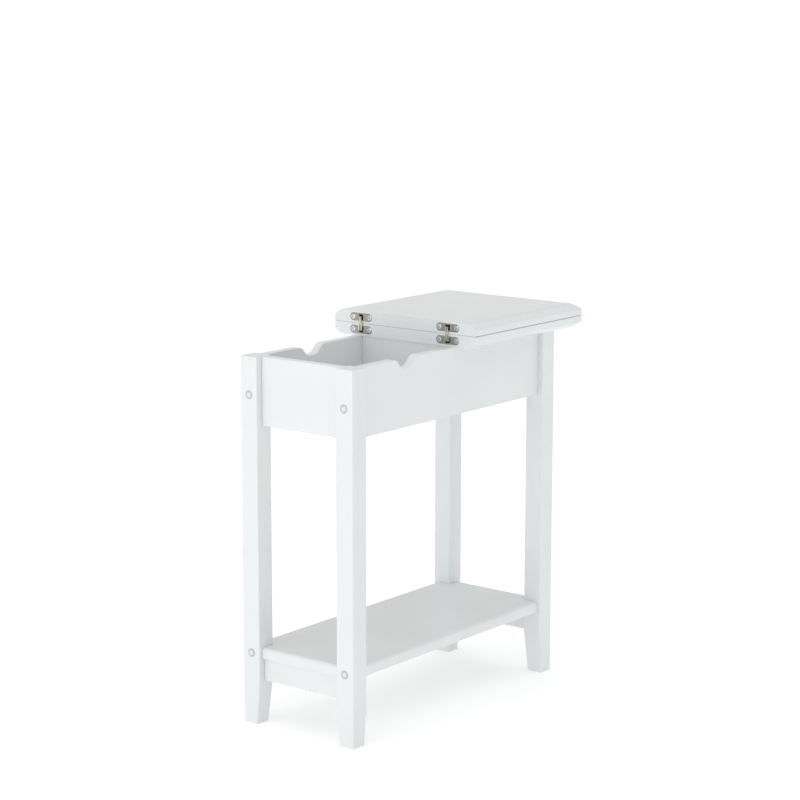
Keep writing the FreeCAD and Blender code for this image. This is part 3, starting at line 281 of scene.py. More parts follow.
def relief(tree, shader, heights):
    """Stack bumps: heights are (factor, depth in metres, strength)."""
    inputs = {}
    for factor, depth, amount in heights:
        inputs.update({"Height": factor, "Distance": depth, "Strength": amount})
        inputs["Normal"] = add(tree, "ShaderNodeBump", inputs).outputs["Normal"]
    vary(tree, shader, Normal=inputs["Normal"])


def shade(base, factor):
    """A colour made lighter or darker."""
    return tuple(min(1.0, part * factor) for part in base)


def lacquer(name, pores_along=None):
    """Sprayed satin lacquer. Over solid wood its pores still show a little, along one axis."""
    paint = settings("paint")
    base = tuple(paint.paint)
    material, tree, shader = new_finish(name, base, paint.roughness, Coat_Weight=paint.coat,
                                        Coat_Roughness=0.12)
    plain = stretched(tree)
    drift, matt = cloud(tree, plain, 7.0, 3.0), cloud(tree, plain, 34.0, 4.0, 0.6)
    vary(tree, shader,
         Base_Color=ramp(tree, drift, [(0.35, shade(base, 0.985)), (0.65, shade(base, 1.012))]),
         Roughness=spread(tree, matt, paint.roughness - 0.035, paint.roughness + 0.045))
    heights = [(cloud(tree, plain, 420.0, 1.0), paint.peel, 0.5),
               (cloud(tree, plain, 22.0, 1.0), paint.peel * 12, 0.35)]
    if pores_along is not None:
        pores = cloud(tree, drawn_out(tree, 520.0, pores_along, 7.0), 1.0, 3.0, 0.65, 0.3)
        heights.append((spread(tree, pores, 0.0, 1.0, 0.30, 0.48), paint.pores, 0.5))
    relief(tree, shader, heights)
    return material


def bare_beech(name):
    """Unpainted beech: long soft rings, short dark flecks and fine pores along Y."""
    light, dark, fleck = (0.66, 0.45, 0.26), (0.50, 0.30, 0.155), (0.33, 0.18, 0.09)
    material, tree, shader = new_finish(name, light, 0.62)
    rings = cloud(tree, drawn_out(tree, 26.0, 1, 2.2), 1.6, 5.0, 0.55, 1.2)
    tint = ramp(tree, rings, [(0.32, dark), (0.5, light), (0.72, shade(light, 1.12))])
    flecks = cloud(tree, drawn_out(tree, 900.0, 1, 90.0), 1.0, 2.0)
    mask = spread(tree, flecks, 0.0, 0.75, 0.60, 0.70)
    vary(tree, shader, Base_Color=blend(tree, mask, tint, fleck),
         Roughness=spread(tree, rings, 0.55, 0.70))
    relief(tree, shader, [(flecks, 0.00006, 0.6), (rings, 0.00012, 0.25)])
    return material


def cast_nickel(name):
    """Nickel plate over a die casting: fine grain and worn faces. Inside the mouth the colour is painted darker as
    painted shade, and the metal turns dull.
    """
    base = tuple(settings("hardware").nickel)
    material, tree, shader = new_finish(name, base, 0.36, 1.0)
    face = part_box("hinge_fixed_cups")[0].y
    shade_and_dull_from, shade_and_dull_to = face + 0.0006, face + 0.006
    plain = stretched(tree)
    depth = add(tree, "ShaderNodeSeparateXYZ", {"Vector": plain}).outputs["Y"]
    shaded_inside = spread(tree, depth, 0.0, 1.0, shade_and_dull_from, shade_and_dull_to)
    wear = cloud(tree, plain, 380.0, 4.0, 0.6)
    worn = ramp(tree, wear, [(0.30, shade(base, 0.72)), (0.55, base), (0.75, shade(base, 1.25))])
    # Painted shade: inside the mouth the colour is painted darker and the metal turns dull.
    vary(tree, shader, Base_Color=blend(tree, shaded_inside, worn, shade(base, 0.8)),
         Metallic=spread(tree, shaded_inside, 1.0, 0.25, 0.0, 1.0),
         Roughness=spread(tree, wear, 0.46, 0.27))
    relief(tree, shader, [(cloud(tree, plain, 2600.0, 2.0), 0.00002, 0.5)])
    return material


def brushed_metal(name, base, along, roughness, tarnish, scale=2400.0, mouth=None):
    """Metal with fine drawn lines along one axis and patches of tarnish. Where a mouth's height is given, the
    colour is painted dark from there downward: painted shade inside the mouth."""
    material, tree, shader = new_finish(name, base, roughness, 1.0)
    lines = cloud(tree, drawn_out(tree, scale, along, scale / 24), 1.0, 3.0, 0.7)
    patches = cloud(tree, stretched(tree), 260.0, 4.0, 0.6)
    tint = ramp(tree, patches, [(0.28, shade(base, tarnish)), (0.5, base),
                                (0.74, shade(base, 1.14))])
    # Painted shade: below the mouth's height the colour is painted dark, for the shade inside a port.
    if mouth is not None:
        dark_from, dark_to = mouth - 0.0002, mouth - 0.0025
        level = add(tree, "ShaderNodeSeparateXYZ", {"Vector": stretched(tree)}).outputs["Z"]
        shaded_inside = spread(tree, level, 1.0, 0.0, dark_to, dark_from)
        tint = blend(tree, shaded_inside, tint, shade(base, 0.12))
    vary(tree, shader, Base_Color=tint,
         Roughness=spread(tree, lines, roughness - 0.08, roughness + 0.10))
    relief(tree, shader, [(lines, 0.000012, 0.5)])
    return material


def moulded(name, base, roughness, grain=0.00002, grain_scale=1900.0, **sockets):
    """Injection-moulded plastic: a fine spark-eroded grain and slightly uneven gloss."""
    material, tree, shader = new_finish(name, base, roughness, **sockets)
    plain = stretched(tree)
    drift = cloud(tree, plain, 40.0, 3.0)
    pits = add(tree, "ShaderNodeTexVoronoi", {"Vector": plain, "Scale": grain_scale},
               feature="SMOOTH_F1").outputs["Distance"]
    vary(tree, shader,
         Base_Color=ramp(tree, drift, [(0.3, shade(base, 0.965)), (0.7, shade(base, 1.02))]),
         Roughness=spread(tree, drift, roughness - 0.04, roughness + 0.05))
    relief(tree, shader, [(pits, grain, 0.6)])
    return material


def plug_moulding(name):
    """Thin pale plastic, painted darker toward a plug's rim and lighter at its crown: painted shade round the rim
    and a painted highlight on the dome, by the height of its dome.
    """
    pale = tuple(settings("hardware").plug)
    material, tree, shader = new_finish(name, pale, 0.26, Coat_Weight=0.4)
    rise = add(tree, "ShaderNodeAttribute", attribute_name="dome_height").outputs["Fac"]
    pits = cloud(tree, stretched(tree), 700.0, 3.0)
    # Painted shade at the rim and a painted highlight at the crown, along the dome's height.
    tint = ramp(tree, rise, [(0.05, shade(pale, 0.60)), (0.55, shade(pale, 0.74)),
                             (0.98, shade(pale, 1.02))])
    vary(tree, shader, Base_Color=tint, Roughness=spread(tree, pits, 0.22, 0.31))
    relief(tree, shader, [(pits, 0.00001, 0.5)])
    return material


def solder_mask(name):
    """A circuit board: green mask over faint copper tracks."""
    base = (0.02, 0.11, 0.045)
    material, tree, shader = new_finish(name, base, 0.35)
    tracks = add(tree, "ShaderNodeTexBrick",
                 {"Vector": stretched(tree), "Scale": 180.0, "Color1": (*base, 1.0),
                  "Color2": (*shade(base, 1.5), 1.0), "Mortar": (*shade(base, 2.6), 1.0),
                  "Mortar Size": 0.06})
    vary(tree, shader, Base_Color=tracks.outputs["Color"])
    relief(tree, shader, [(tracks.outputs["Fac"], 0.00003, 0.7)])
    return material


def studio_paint(name):
    """The studio floor's even, faintly mottled paint."""
    stage = settings("stage")
    base = tuple(stage.floor)
    material, tree, shader = new_finish(name, base, 0.85, Specular_IOR_Level=0.1,
                                        Emission_Strength=stage.floor_glow)
    mottle = cloud(tree, stretched(tree), 3.0, 2.0)
    vary(tree, shader, Base_Color=ramp(tree, mottle, [(0.3, shade(base, 0.996)), (0.7, base)]))
    return material


def finish(slot):
    """The finish for a material slot, made the first time that it is asked for."""
    hardware, charger = settings("hardware"), settings("charger")
    zinc, brass = tuple(hardware.zinc), tuple(hardware.brass)
    plate, insert = tuple(charger.moulding), tuple(charger.insert)
    steel, black = (0.52, 0.49, 0.38), (0.018, 0.018, 0.02)
    smoke, pad = (0.16, 0.17, 0.19), (0.95, 0.95, 0.94)
    port_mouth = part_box("usb_port_shells")[1].z
    looks = {
        "painted_leg": ("satin_lacquer_on_beech", lacquer, [2]),
        "painted_board": ("satin_lacquer_on_board", lacquer, []),
        "raw_wood": ("bare_beech", bare_beech, []),
        "nickel": ("satin_nickel_casting", cast_nickel, []),
        "brass": ("drawn_brass", brushed_metal, [brass, 2, 0.32, 0.7]),
        "zinc_steel": ("zinc_plated_steel", brushed_metal, [zinc, 0, 0.30, 0.82, 3200.0]),
        # The port steel is painted dark below the ports' mouths, as painted shade.
        "port_steel": ("drawn_port_steel", brushed_metal,
                       [steel, 2, 0.28, 0.6, 2400.0, port_mouth]),
        "white_plastic": ("warm_white_moulding", moulded, [plate, 0.48]),
        "insert_plastic": ("bright_white_moulding", moulded, [insert, 0.36, 0.00001]),
        "plug_plastic": ("plug_moulding", plug_moulding, []),
        "dark_plastic": ("black_moulding", moulded, [black, 0.42]),
        "light_lens": ("smoked_lens", moulded, [smoke, 0.12, 0.000004, 900.0]),
        "rubber": ("white_pad_rubber", moulded, [pad, 0.5, 0.00003, 1300.0]),
        "circuit_board": ("green_solder_mask", solder_mask, []),
    }
    extra = {"light_lens": {"Coat_Weight": 0.6}, "rubber": {"Subsurface_Weight": 0.1}}
    name, make, values = looks[slot]
    return bpy.data.materials.get(name) or make(name, *values, **extra.get(slot, {}))


# ---- modelling


def stand_for(mesh, name, slot, body, *nodes, look=None, more=()):
    """Turn a bmesh into a finished piece that shows in place of its nodes."""
    join_within, sharp_from = 1e-6, math.radians(38)
    bmesh.ops.remove_doubles(mesh, verts=mesh.verts, dist=join_within)
    bmesh.ops.recalc_face_normals(mesh, faces=mesh.faces)
    data = bpy.data.meshes.new(name)
    mesh.to_mesh(data)
    mesh.free()
    for coat in (look or slot, *more):
        data.materials.append(finish(coat))
    data.shade_smooth()
    data.set_sharp_from_angle(angle=sharp_from)
    piece = bpy.data.objects.new(name, data)
    bpy.context.scene.collection.objects.link(piece)
    even = piece.modifiers.new("even_shading", "WEIGHTED_NORMAL")
    even.keep_sharp = True
    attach(piece, body)
    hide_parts(*nodes)
    return piece


def block(mesh, low, high):
    """A box between two corners; returns its vertices."""
    low, high = Vector(low), Vector(high)
    verts = bmesh.ops.create_cube(mesh, size=1.0)["verts"]
    bmesh.ops.scale(mesh, vec=high - low, verts=verts)
    bmesh.ops.translate(mesh, vec=(low + high) / 2, verts=verts)
    return verts


def soften(mesh, edges, radius, segments=3):
    """Round the given edges."""
    bmesh.ops.bevel(mesh, geom=list(edges), offset=radius, offset_type="OFFSET", affect="EDGES",
                    segments=segments, profile=0.5, material=-1, clamp_overlap=True)


def at_level(edge, axis, *levels):
    """Whether both ends of an edge are at one of the levels."""
    return any(all(abs(vert.co[axis] - level) < NEAR for vert in edge.verts) for level in levels)


def each_once(items):
    """The items without repeats, in their own order; a set's order changes from run to run."""
    return list(dict.fromkeys(items))


def open_edges(mesh):
    """The edges round what is still open."""
    return [edge for edge in mesh.edges if edge.is_boundary]


def verts_in(geometry):
    """The vertices among mixed geometry."""
    return [item for item in geometry if isinstance(item, bmesh.types.BMVert)]


def cut(mesh, place, normal, **options):
    """Cut the whole mesh by a plane."""
    everything = mesh.verts[:] + mesh.edges[:] + mesh.faces[:]
    bmesh.ops.bisect_plane(mesh, geom=everything, plane_co=place, plane_no=normal, **options)


def draw_out(mesh, faces, shift):
    """Draw flat faces out into a solid."""
    drawn = bmesh.ops.extrude_face_region(mesh, geom=faces)["geom"]
    bmesh.ops.translate(mesh, vec=shift, verts=verts_in(drawn))
    bmesh.ops.recalc_face_normals(mesh, faces=mesh.faces)


FACING = {
    "x": Matrix(((0, 0, 1), (1, 0, 0), (0, 1, 0))),
    "y": Matrix(((1, 0, 0), (0, 0, -1), (0, 1, 0))),
    "z": Matrix.Identity(3),
}


def loop(mesh, centre, width, height, radius, facing, corner_steps):
    """A closed loop of edges with round corners, lying across an axis; a circle if it has no
    straight sides. Its flats lie just at the given sizes."""
    count = corner_steps * 4
    half_step = math.pi / count
    verts = bmesh.ops.create_circle(mesh, cap_ends=False, segments=count,
                                    radius=radius / math.cos(half_step))["verts"]
    bmesh.ops.rotate(mesh, verts=verts, matrix=Matrix.Rotation(half_step, 3, "Z"))
    for side_x in SIDES:
        for side_y in SIDES:
            corner = [v for v in verts if v.co.x * side_x > 0 and v.co.y * side_y > 0]
            shift = ((width / 2 - radius) * side_x, (height / 2 - radius) * side_y, 0)
            bmesh.ops.translate(mesh, verts=corner, vec=shift)
    bmesh.ops.rotate(mesh, verts=verts, matrix=FACING[facing])
    bmesh.ops.translate(mesh, verts=verts, vec=centre)
    return each_once(edge for vert in verts for edge in vert.link_edges)


def stack(mesh, centre, rings, facing="z", corner_steps=8):
    """Loops one behind another, joined by walls: rings are (width, height, radius, level).
    Returns the first and last loops."""
    loops = []
    for width, height, radius, level in rings:
        spot = Vector(centre) + Vector([level * (axis == facing) for axis in "xyz"])
        loops.append(loop(mesh, spot, width, height, radius, facing, corner_steps))
    for one, other in zip(loops, loops[1:]):
        bmesh.ops.bridge_loops(mesh, edges=one + other)
    return loops[0], loops[-1]


def ring(radius, level):
    """A round ring of a stack."""
    return radius * 2, radius * 2, radius, level


def close(mesh, edges):
    """Close a loop with one face."""
    bmesh.ops.edgeloop_fill(mesh, edges=edges)


def hole(mesh, centre, rings, facing="z", corner_steps=8):
    """A blind hole; returns its rim, for the face round it."""
    rim, bottom = stack(mesh, centre, rings, facing, corner_steps)
    close(mesh, bottom)
    return rim


def fill_round(mesh, outline, holes, normal):
    """Fill a flat outline and leave its holes open."""
    edges = outline + [edge for rim in holes for edge in rim]
    bmesh.ops.triangle_fill(mesh, edges=edges, use_beauty=True, normal=normal)


def turned(mesh, centre, profile, facing="z"):
    """A closed round piece: profile is (radius, level) from one end to the other."""
    for end in stack(mesh, centre, [ring(*point) for point in profile], facing):
        close(mesh, end)


def cross_grid(mesh, lines_x, lines_y, level):
    """Faces of a plus shape between four lines each way; returns its faces."""
    verts = bmesh.ops.create_grid(mesh, x_segments=3, y_segments=3, size=1.5)["verts"]
    for vert in verts:
        vert.co = (lines_x[round(vert.co.x + 1.5)], lines_y[round(vert.co.y + 1.5)], level)
    faces = each_once(face for vert in verts for face in vert.link_faces)
    corners = []
    for face in faces:
        spot = face.calc_center_median()
        if not (lines_x[1] < spot.x < lines_x[2] or lines_y[1] < spot.y < lines_y[2]):
            corners.append(face)
    bmesh.ops.delete(mesh, geom=corners, context="FACES")
    return [face for face in faces if face.is_valid]


def screw_head(profile, recess_length, recess_width, recess_depth):
    """A turned head along +Z with a cross recess; profile starts at its flat top."""
    recess_flare = 1.12
    mesh = bmesh.new()
    top = profile[0][1]
    half, arm = recess_width / 2, recess_length / 2
    lines = (-arm, -half, half, arm)
    cross_grid(mesh, lines, lines, top - recess_depth)
    verts = verts_in(bmesh.ops.extrude_edge_only(mesh, edges=open_edges(mesh))["geom"])
    bmesh.ops.scale(mesh, vec=(recess_flare, recess_flare, 1.0), verts=verts)
    bmesh.ops.translate(mesh, vec=(0, 0, recess_depth), verts=verts)
    mouth = [edge for edge in open_edges(mesh) if at_level(edge, 2, top)]
    first, last = stack(mesh, (0, 0, 0), [ring(*point) for point in profile], "z", 6)
    fill_round(mesh, first, [mouth], (0, 0, 1))
    close(mesh, last)
    return mesh


def place_copies(mesh, master, matrices):
    """Add a copy of a small model at each place."""
    data = bpy.data.meshes.new("small_piece")
    master.to_mesh(data)
    master.free()
    for matrix in matrices:
        start = len(mesh.verts)
        mesh.from_mesh(data)
        mesh.verts.ensure_lookup_table()
        bmesh.ops.transform(mesh, matrix=matrix, verts=mesh.verts[start:])
    bpy.data.meshes.remove(data)


# ---- woodwork


def bolt_places():
    """Where the frame bolts go: their places along X, and their heights."""
    upper_low, upper_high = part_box("upper_leg_bolts")
    lower_low, lower_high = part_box("lower_leg_bolts")
    x = upper_high.x - settings("hardware").bolt_head
    return (-x, x), ((upper_low.z + upper_high.z) / 2, (lower_low.z + lower_high.z) / 2)


def make_leg(end, side):
    """One leg with its taper on the two inner faces of the foot."""
    wood, hardware = settings("woodwork"), settings("hardware")
    node = f"leg_{end}_{side}"
    low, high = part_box(node)
    centre = (low + high) / 2
    inward = (-1 if side == "right" else 1, 1 if end == "front" else -1)
    mesh = bmesh.new()
    block(mesh, low, high)
    cut(mesh, (0, 0, wood.foot_height), (0, 0, 1))
    for vert in mesh.verts:
        for axis, way in enumerate(inward):
            if vert.co.z < low.z + NEAR and (vert.co[axis] - centre[axis]) * way > 0:
                vert.co[axis] -= wood.foot_taper * way
    upright = [edge for edge in mesh.edges
               if abs(edge.verts[0].co.z - edge.verts[1].co.z) > wood.foot_height / 2]
    soften(mesh, upright, wood.leg_edge, 4)
    ends = [edge for edge in mesh.edges if at_level(edge, 2, low.z, high.z)]
    soften(mesh, ends, wood.board_edge / 2, 2)
    face_y = low.y if end == "front" else high.y
    outer = [face for face in mesh.faces
             if all(abs(vert.co.y - face_y) < NEAR for vert in face.verts)]
    bmesh.ops.delete(mesh, geom=outer, context="FACES")
    outline = open_edges(mesh)
    across, heights = bolt_places()
    bevel, bore = hardware.plug_ring, hardware.bolt_bore
    rings = [ring(bore + bevel, 0), ring(bore, bevel * inward[1]),
             ring(bore, hardware.bolt_sink * inward[1])]
    rims = [hole(mesh, (across[side == "right"], face_y, z), rings, "y") for z in heights]
    fill_round(mesh, outline, rims, (0, -inward[1], 0))
    return stand_for(mesh, f"{end}_{side}_leg", "painted_leg", BODY, node)


def make_board(node, name):
    """A straight board with softened edges."""
    mesh = bmesh.new()
    block(mesh, *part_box(node))
    soften(mesh, mesh.edges[:], settings("woodwork").board_edge)
    return stand_for(mesh, name, "painted_board", BODY, node)


def run_on(mesh, vert, y, z):
    """Draw a straight edge on from a vertex."""
    new = bmesh.ops.extrude_vert_indiv(mesh, verts=[vert])["verts"][0]
    new.co.y, new.co.z = y, z
    return new


def curve_on(mesh, vert, centre_y, centre_z, angle, steps=9):
    """Draw an arc on from a vertex, about a point, in the panel's plane."""
    made = bmesh.ops.spin(mesh, geom=[vert], cent=(vert.co.x, centre_y, centre_z),
                          axis=(1, 0, 0), angle=angle, steps=steps)
    return verts_in(made["geom_last"])[0]


def make_side_panel(side):
    """A side panel with the finger notch in its top edge."""
    wood = settings("woodwork")
    node = f"{side}_side_panel"
    low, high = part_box(node)
    middle = frame["joints"][0]["pos_m"][1] - wood.notch_setback
    radius, drop, flat = wood.notch_radius, wood.notch_depth, wood.notch_flat / 2
    bend = math.acos(1 - drop / (radius * 2))
    reach = flat + radius * math.sin(bend) * 2
    floor, crest = high.z - drop, high.z - radius
    mesh = bmesh.new()
    start = mesh.verts.new((low.x, low.y, low.z))
    vert = run_on(mesh, start, high.y, low.z)
    vert = run_on(mesh, vert, high.y, high.z)
    vert = run_on(mesh, vert, middle + reach, high.z)
    vert = curve_on(mesh, vert, middle + reach, crest, bend)
    vert = curve_on(mesh, vert, middle + flat, floor + radius, -bend)
    vert = run_on(mesh, vert, middle - flat, floor)
    vert = curve_on(mesh, vert, middle - flat, floor + radius, -bend)
    vert = curve_on(mesh, vert, middle - reach, crest, bend)
    vert = run_on(mesh, vert, low.y, high.z)
    mesh.edges.new((vert, start))
    outline = bmesh.ops.contextual_create(mesh, geom=mesh.edges[:])["faces"]
    draw_out(mesh, outline, (high.x - low.x, 0, 0))
    rims = [edge for edge in mesh.edges if at_level(edge, 0, low.x, high.x)]
    soften(mesh, rims, wood.board_edge)
    return stand_for(mesh, f"{side}_notched_panel", "painted_board", BODY, node)


def make_shelf_board():
    """The shelf, cut out round the legs, with its outer edges rounded."""
    wood = settings("woodwork")
    low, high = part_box("shelf_board")
    leg_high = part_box("leg_front_left")[1]
    between = -leg_high.x - wood.leg_gap
    front, rear = leg_high.y + wood.leg_gap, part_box("leg_rear_left")[0].y - wood.leg_gap
    mesh = bmesh.new()
    faces = cross_grid(mesh, (low.x, -between, between, high.x),
                       (low.y, front, rear, high.y), low.z)
    draw_out(mesh, faces, (0, 0, high.z - low.z))
    for level, radius, segments in ((high.z, wood.shelf_top_edge, 6),
                                    (low.z, wood.shelf_under_edge, 4)):
        outer = [edge for edge in mesh.edges if at_level(edge, 2, level) and
                 (at_level(edge, 0, low.x, high.x) or at_level(edge, 1, low.y, high.y))]
        soften(mesh, outer, radius, segments)
    return stand_for(mesh, "low_shelf", "painted_board", BODY, "shelf_board")


def make_leaf(node, name, body, upside_down):
    """A leaf with its rounded underside edges and the two hinge mortises."""
    wood, hardware = settings("woodwork"), settings("hardware")
    low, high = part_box(node)
    band_foot = high.z - wood.leaf_band
    crease = wood.leaf_crease
    lean = math.atan2(high.z - low.z - wood.leaf_band, wood.leaf_reach) * 2 - crease
    sweep = wood.leaf_reach / (math.sin(lean) - math.sin(crease))
    steps, least_rise = 9, 1e-7
    mesh = bmesh.new()
    # Twice as long, so that the spare half can be cut off square at the meeting edge.
    block(mesh, (low.x, low.y * 2 - high.y, band_foot), high)
    under = min(mesh.faces, key=lambda face: face.calc_center_median().z)
    for step in range(steps):
        now, then = (lean + (crease - lean) * (step + ahead) / steps for ahead in (0, 1))
        bmesh.ops.inset_region(mesh, faces=[under], use_boundary=True, use_even_offset=True,
                               thickness=sweep * (math.sin(now) - math.sin(then)),
                               depth=sweep * (math.cos(then) - math.cos(now)))
    corners = [edge for edge in mesh.edges
               if abs(edge.verts[0].co.z - edge.verts[1].co.z) > least_rise]
    soften(mesh, corners, wood.leaf_corner, 5)
    for level, segments in ((high.z, 3), (band_foot, 2)):
        edges = [edge for edge in mesh.edges if at_level(edge, 2, level)]
        soften(mesh, edges, wood.leaf_edge, segments)
    cut(mesh, (0, low.y, 0), (0, -1, 0), clear_outer=True)
    outline = open_edges(mesh)
    cup_low, cup_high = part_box("hinge_fixed_cups")
    width, places = cup_span()
    fit, pocket_corner = 0.0001, 0.0016
    cup_tall = cup_high.z - cup_low.z
    oval = (width + fit * 2, cup_tall + fit * 2, cup_tall / 2 + fit)
    pocket = (hardware.pocket_width + fit * 2, hardware.pocket_height + fit * 2, pocket_corner)
    step, floor = hardware.cup_flange + fit, cup_high.y - low.y + fit
    mortises = []
    for x in places:
        spot = (x, low.y, (low.z + high.z) / 2)
        rim, ledge = stack(mesh, spot, [(*oval, 0), (*oval, step)], "y")
        mouth = hole(mesh, spot, [(*pocket, step), (*pocket, floor)], "y", 3)
        fill_round(mesh, ledge, [mouth], (0, -1, 0))
        mortises.append(rim)
    fill_round(mesh, outline, mortises, (0, -1, 0))
    if upside_down:
        bmesh.ops.scale(mesh, vec=(1, 1, -1), verts=mesh.verts)
        bmesh.ops.translate(mesh, vec=(0, 0, low.z + high.z), verts=mesh.verts)
    return stand_for(mesh, name, "painted_board", body, node)


# ---- hardware


def cup_span():
    """Length of one hinge cup, and the places of the two cups' middles along X."""
    hardware = settings("hardware")
    last_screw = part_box("hinge_fixed_screws")[1].x - hardware.head_radius
    middle = last_screw - hardware.screw_spacing / 2
    return (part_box("hinge_fixed_cups")[1].x - middle) * 2, (-middle, middle)


def make_cups(half, body):
    """Two oval cups, each with a mouth for the links and two screw seats."""
    hardware = settings("hardware")
    node = f"hinge_{half}_cups"
    low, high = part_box(node)
    height, depth = high.z - low.z, high.y - low.y
    width, places = cup_span()
    flange, soft = hardware.cup_flange, hardware.cup_edge
    wide, tall = hardware.cup_mouth, hardware.mouth_height
    mouth_corner, inner_corner, body_corner = 0.0012, 0.001, 0.0015
    broad, narrow = hardware.head_radius + soft, hardware.head_radius * 0.42
    mouth_floor, seat_floor = depth * 0.82, flange * 0.95
    shell = (hardware.pocket_width, hardware.pocket_height, body_corner)
    mesh = bmesh.new()
    for x in places:
        spot = Vector((x, low.y, (low.z + high.z) / 2))
        face, back = stack(mesh, spot, [
            (width - soft * 2, height - soft * 2, height / 2 - soft, 0),
            (width - soft * 0.6, height - soft * 0.6, height / 2 - soft * 0.3, soft * 0.3),
            (width, height, height / 2, soft), (width, height, height / 2, flange)], "y")
        holes = [hole(mesh, spot, [
            (wide, tall, mouth_corner, 0), (wide - soft, tall - soft, inner_corner, soft),
            (wide - soft, tall - soft, inner_corner, mouth_floor)], "y", 4)]
        for side in SIDES:
            seat = spot + Vector((hardware.screw_spacing / 2 * side, 0, 0))
            holes.append(hole(mesh, seat, [ring(broad, 0), ring(narrow, seat_floor)], "y"))
        fill_round(mesh, face, holes, (0, -1, 0))
        behind = hole(mesh, spot, [(*shell, flange), (*shell, depth)], "y", 3)
        fill_round(mesh, back, [behind], (0, 1, 0))
    return stand_for(mesh, f"{half}_leaf_cups", "nickel", body, node)


def make_cup_screws(half, body):
    """Four countersunk screws with faintly crowned heads and cross recesses."""
    hardware = settings("hardware")
    node = f"hinge_{half}_screws"
    low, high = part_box(node)
    radius, shank = hardware.head_radius, hardware.head_radius * 0.38
    crown, shoulder, rim_drop, head_depth = 0.00012, 0.00004, 0.0002, 0.0024
    recess = (0.0046, 0.0011, 0.0014)
    first_twist, next_twist = 17, 31
    head = screw_head([(radius * 0.72, crown), (radius * 0.9, shoulder), (radius, -rim_drop),
                       (shank, -head_depth), (shank, low.y - high.y)], *recess)
    facing_front = Matrix.Rotation(math.radians(90), 4, "X")
    spots = [x + hardware.screw_spacing / 2 * side for x in cup_span()[1] for side in SIDES]
    places = []
    for number, x in enumerate(spots):
        twist = Matrix.Rotation(math.radians(first_twist + next_twist * number), 4, "Z")
        place = Matrix.Translation((x, low.y, (low.z + high.z) / 2))
        places.append(place @ facing_front @ twist)
    mesh = bmesh.new()
    place_copies(mesh, head, places)
    return stand_for(mesh, f"{half}_cup_screw_heads", "zinc_steel", body, node)


def make_plugs():
    """Domed plugs that cover the bolts' heads, each with its stem in the leg."""
    hardware = settings("hardware")
    low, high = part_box("bolt_cover_plugs")
    across, heights = bolt_places()
    radius, dome = high.x - across[1], hardware.plug_dome
    curve = (radius ** 2 + dome ** 2) / (dome * 2)
    rings = [radius * part for part in (0.16, 0.4, 0.62, 0.80, 0.93)]
    profile = [(size, math.sqrt(curve ** 2 - size ** 2) - curve + dome) for size in rings]
    rim_foot, stem_top, stem_foot = -0.0001, -0.0006, -0.0012
    profile += [(radius * 0.985, dome * 0.1), (radius, rim_foot),
                (hardware.bolt_head, stem_top), (hardware.bolt_head, stem_foot)]
    front, rear = low.y + dome, high.y - dome
    mesh = bmesh.new()
    for face_y, outward in ((front, -1), (rear, 1)):
        for x in across:
            for z in heights:
                outline = [(size, level * outward) for size, level in profile]
                turned(mesh, (x, face_y, z), outline, "y")
    # The dome's height is kept for the plug finish, which paints shade at the rim and a highlight at the crown.
    height = mesh.verts.layers.float.new("dome_height")
    for vert in mesh.verts:
        vert[height] = max(0.0, max(front - vert.co.y, vert.co.y - rear) / dome)
    return stand_for(mesh, "bolt_plugs", "plug_plastic", BODY, "bolt_cover_plugs")


def make_pads():
    """Soft round pads that the closed leaf stands on."""
    low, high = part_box("bumper_pads")
    radius, thickness = (high.y - low.y) / 2, high.z - low.z
    profile = [(radius * 0.70, thickness), (radius * 0.86, thickness * 0.97),
               (radius * 0.95, thickness * 0.85), (radius, thickness * 0.5), (radius, 0)]
    mesh = bmesh.new()
    for x in (low.x + radius, high.x - radius):
        turned(mesh, (x, (low.y + high.y) / 2, low.z), profile)
    return stand_for(mesh, "leaf_bumper_pads", "rubber", LEAF, "bumper_pads")


# ---- charging unit


def port_places():
    """The two charging ports' middles along Y."""
    low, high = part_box("usb_port_shells")
    half = settings("charger").port_height / 2
    return (low.y + half, high.y - half)


def plate_screw_places():
    """The two plate screws' middles along Y."""
    low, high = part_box("power_plate_screws")
    radius = (high.x - low.x) / 2
    return (low.y + radius, high.y - radius)


def make_face_plate():
    """The plate in the bay's floor, with openings for all that it carries."""
    charger = settings("charger")
    low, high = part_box("power_plate")
    width, span, thick = high.x - low.x, high.y - low.y, high.z - low.z
    bevel, corner, gap = charger.bevel, charger.corner, charger.fit_gap
    outlet_corner, port_corner = 0.0022, 0.0008
    mesh = bmesh.new()
    spot = Vector(((low.x + high.x) / 2, (low.y + high.y) / 2, low.z))
    # How far the outline has drawn in, and what is left below the top, in parts of the bevel.
    bevel_steps = ((0, 1.1), (0.3, 0.8), (1.7, 0.12), (2.2, 0))
    under, face = stack(mesh, spot, [(width, span, corner, 0)] + [
        (width - bevel * inset, span - bevel * inset, corner - bevel * inset / 2,
         thick - bevel * left) for inset, left in bevel_steps])
    outlet_low, outlet_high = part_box("outlet_insert")
    outlet = (outlet_low + outlet_high) / 2
    shell_low, shell_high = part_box("usb_port_shells")
    light_low, light_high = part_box("status_light")
    light = (light_low + light_high) / 2
    across, bore = light_high.x - light_low.x + gap, charger.screw_bore
    openings = [(outlet.x, outlet.y, outlet_high.x - outlet_low.x + gap * 2,
                 outlet_high.y - outlet_low.y + gap * 2, outlet_corner)]
    openings += [(0, y, shell_high.x - shell_low.x + gap, charger.port_height + gap, port_corner)
                 for y in port_places()]
    openings.append((light.x, light.y, across, across, across / 2))
    openings += [(0, y, bore, bore, bore / 2) for y in plate_screw_places()]
    faces, backs = [], []
    for x, y, wide, tall, radius in openings:
        upper, lower = stack(mesh, (x, y, high.z), [
            (wide + gap, tall + gap, radius + gap / 2, 0), (wide, tall, radius, -gap / 2),
            (wide, tall, radius, -thick)], "z", 5)
        faces.append(upper)
        backs.append(lower)
    fill_round(mesh, face, faces, (0, 0, 1))
    fill_round(mesh, under, backs, (0, 0, -1))
    return stand_for(mesh, "charging_face_plate", "white_plastic", BODY, "power_plate")


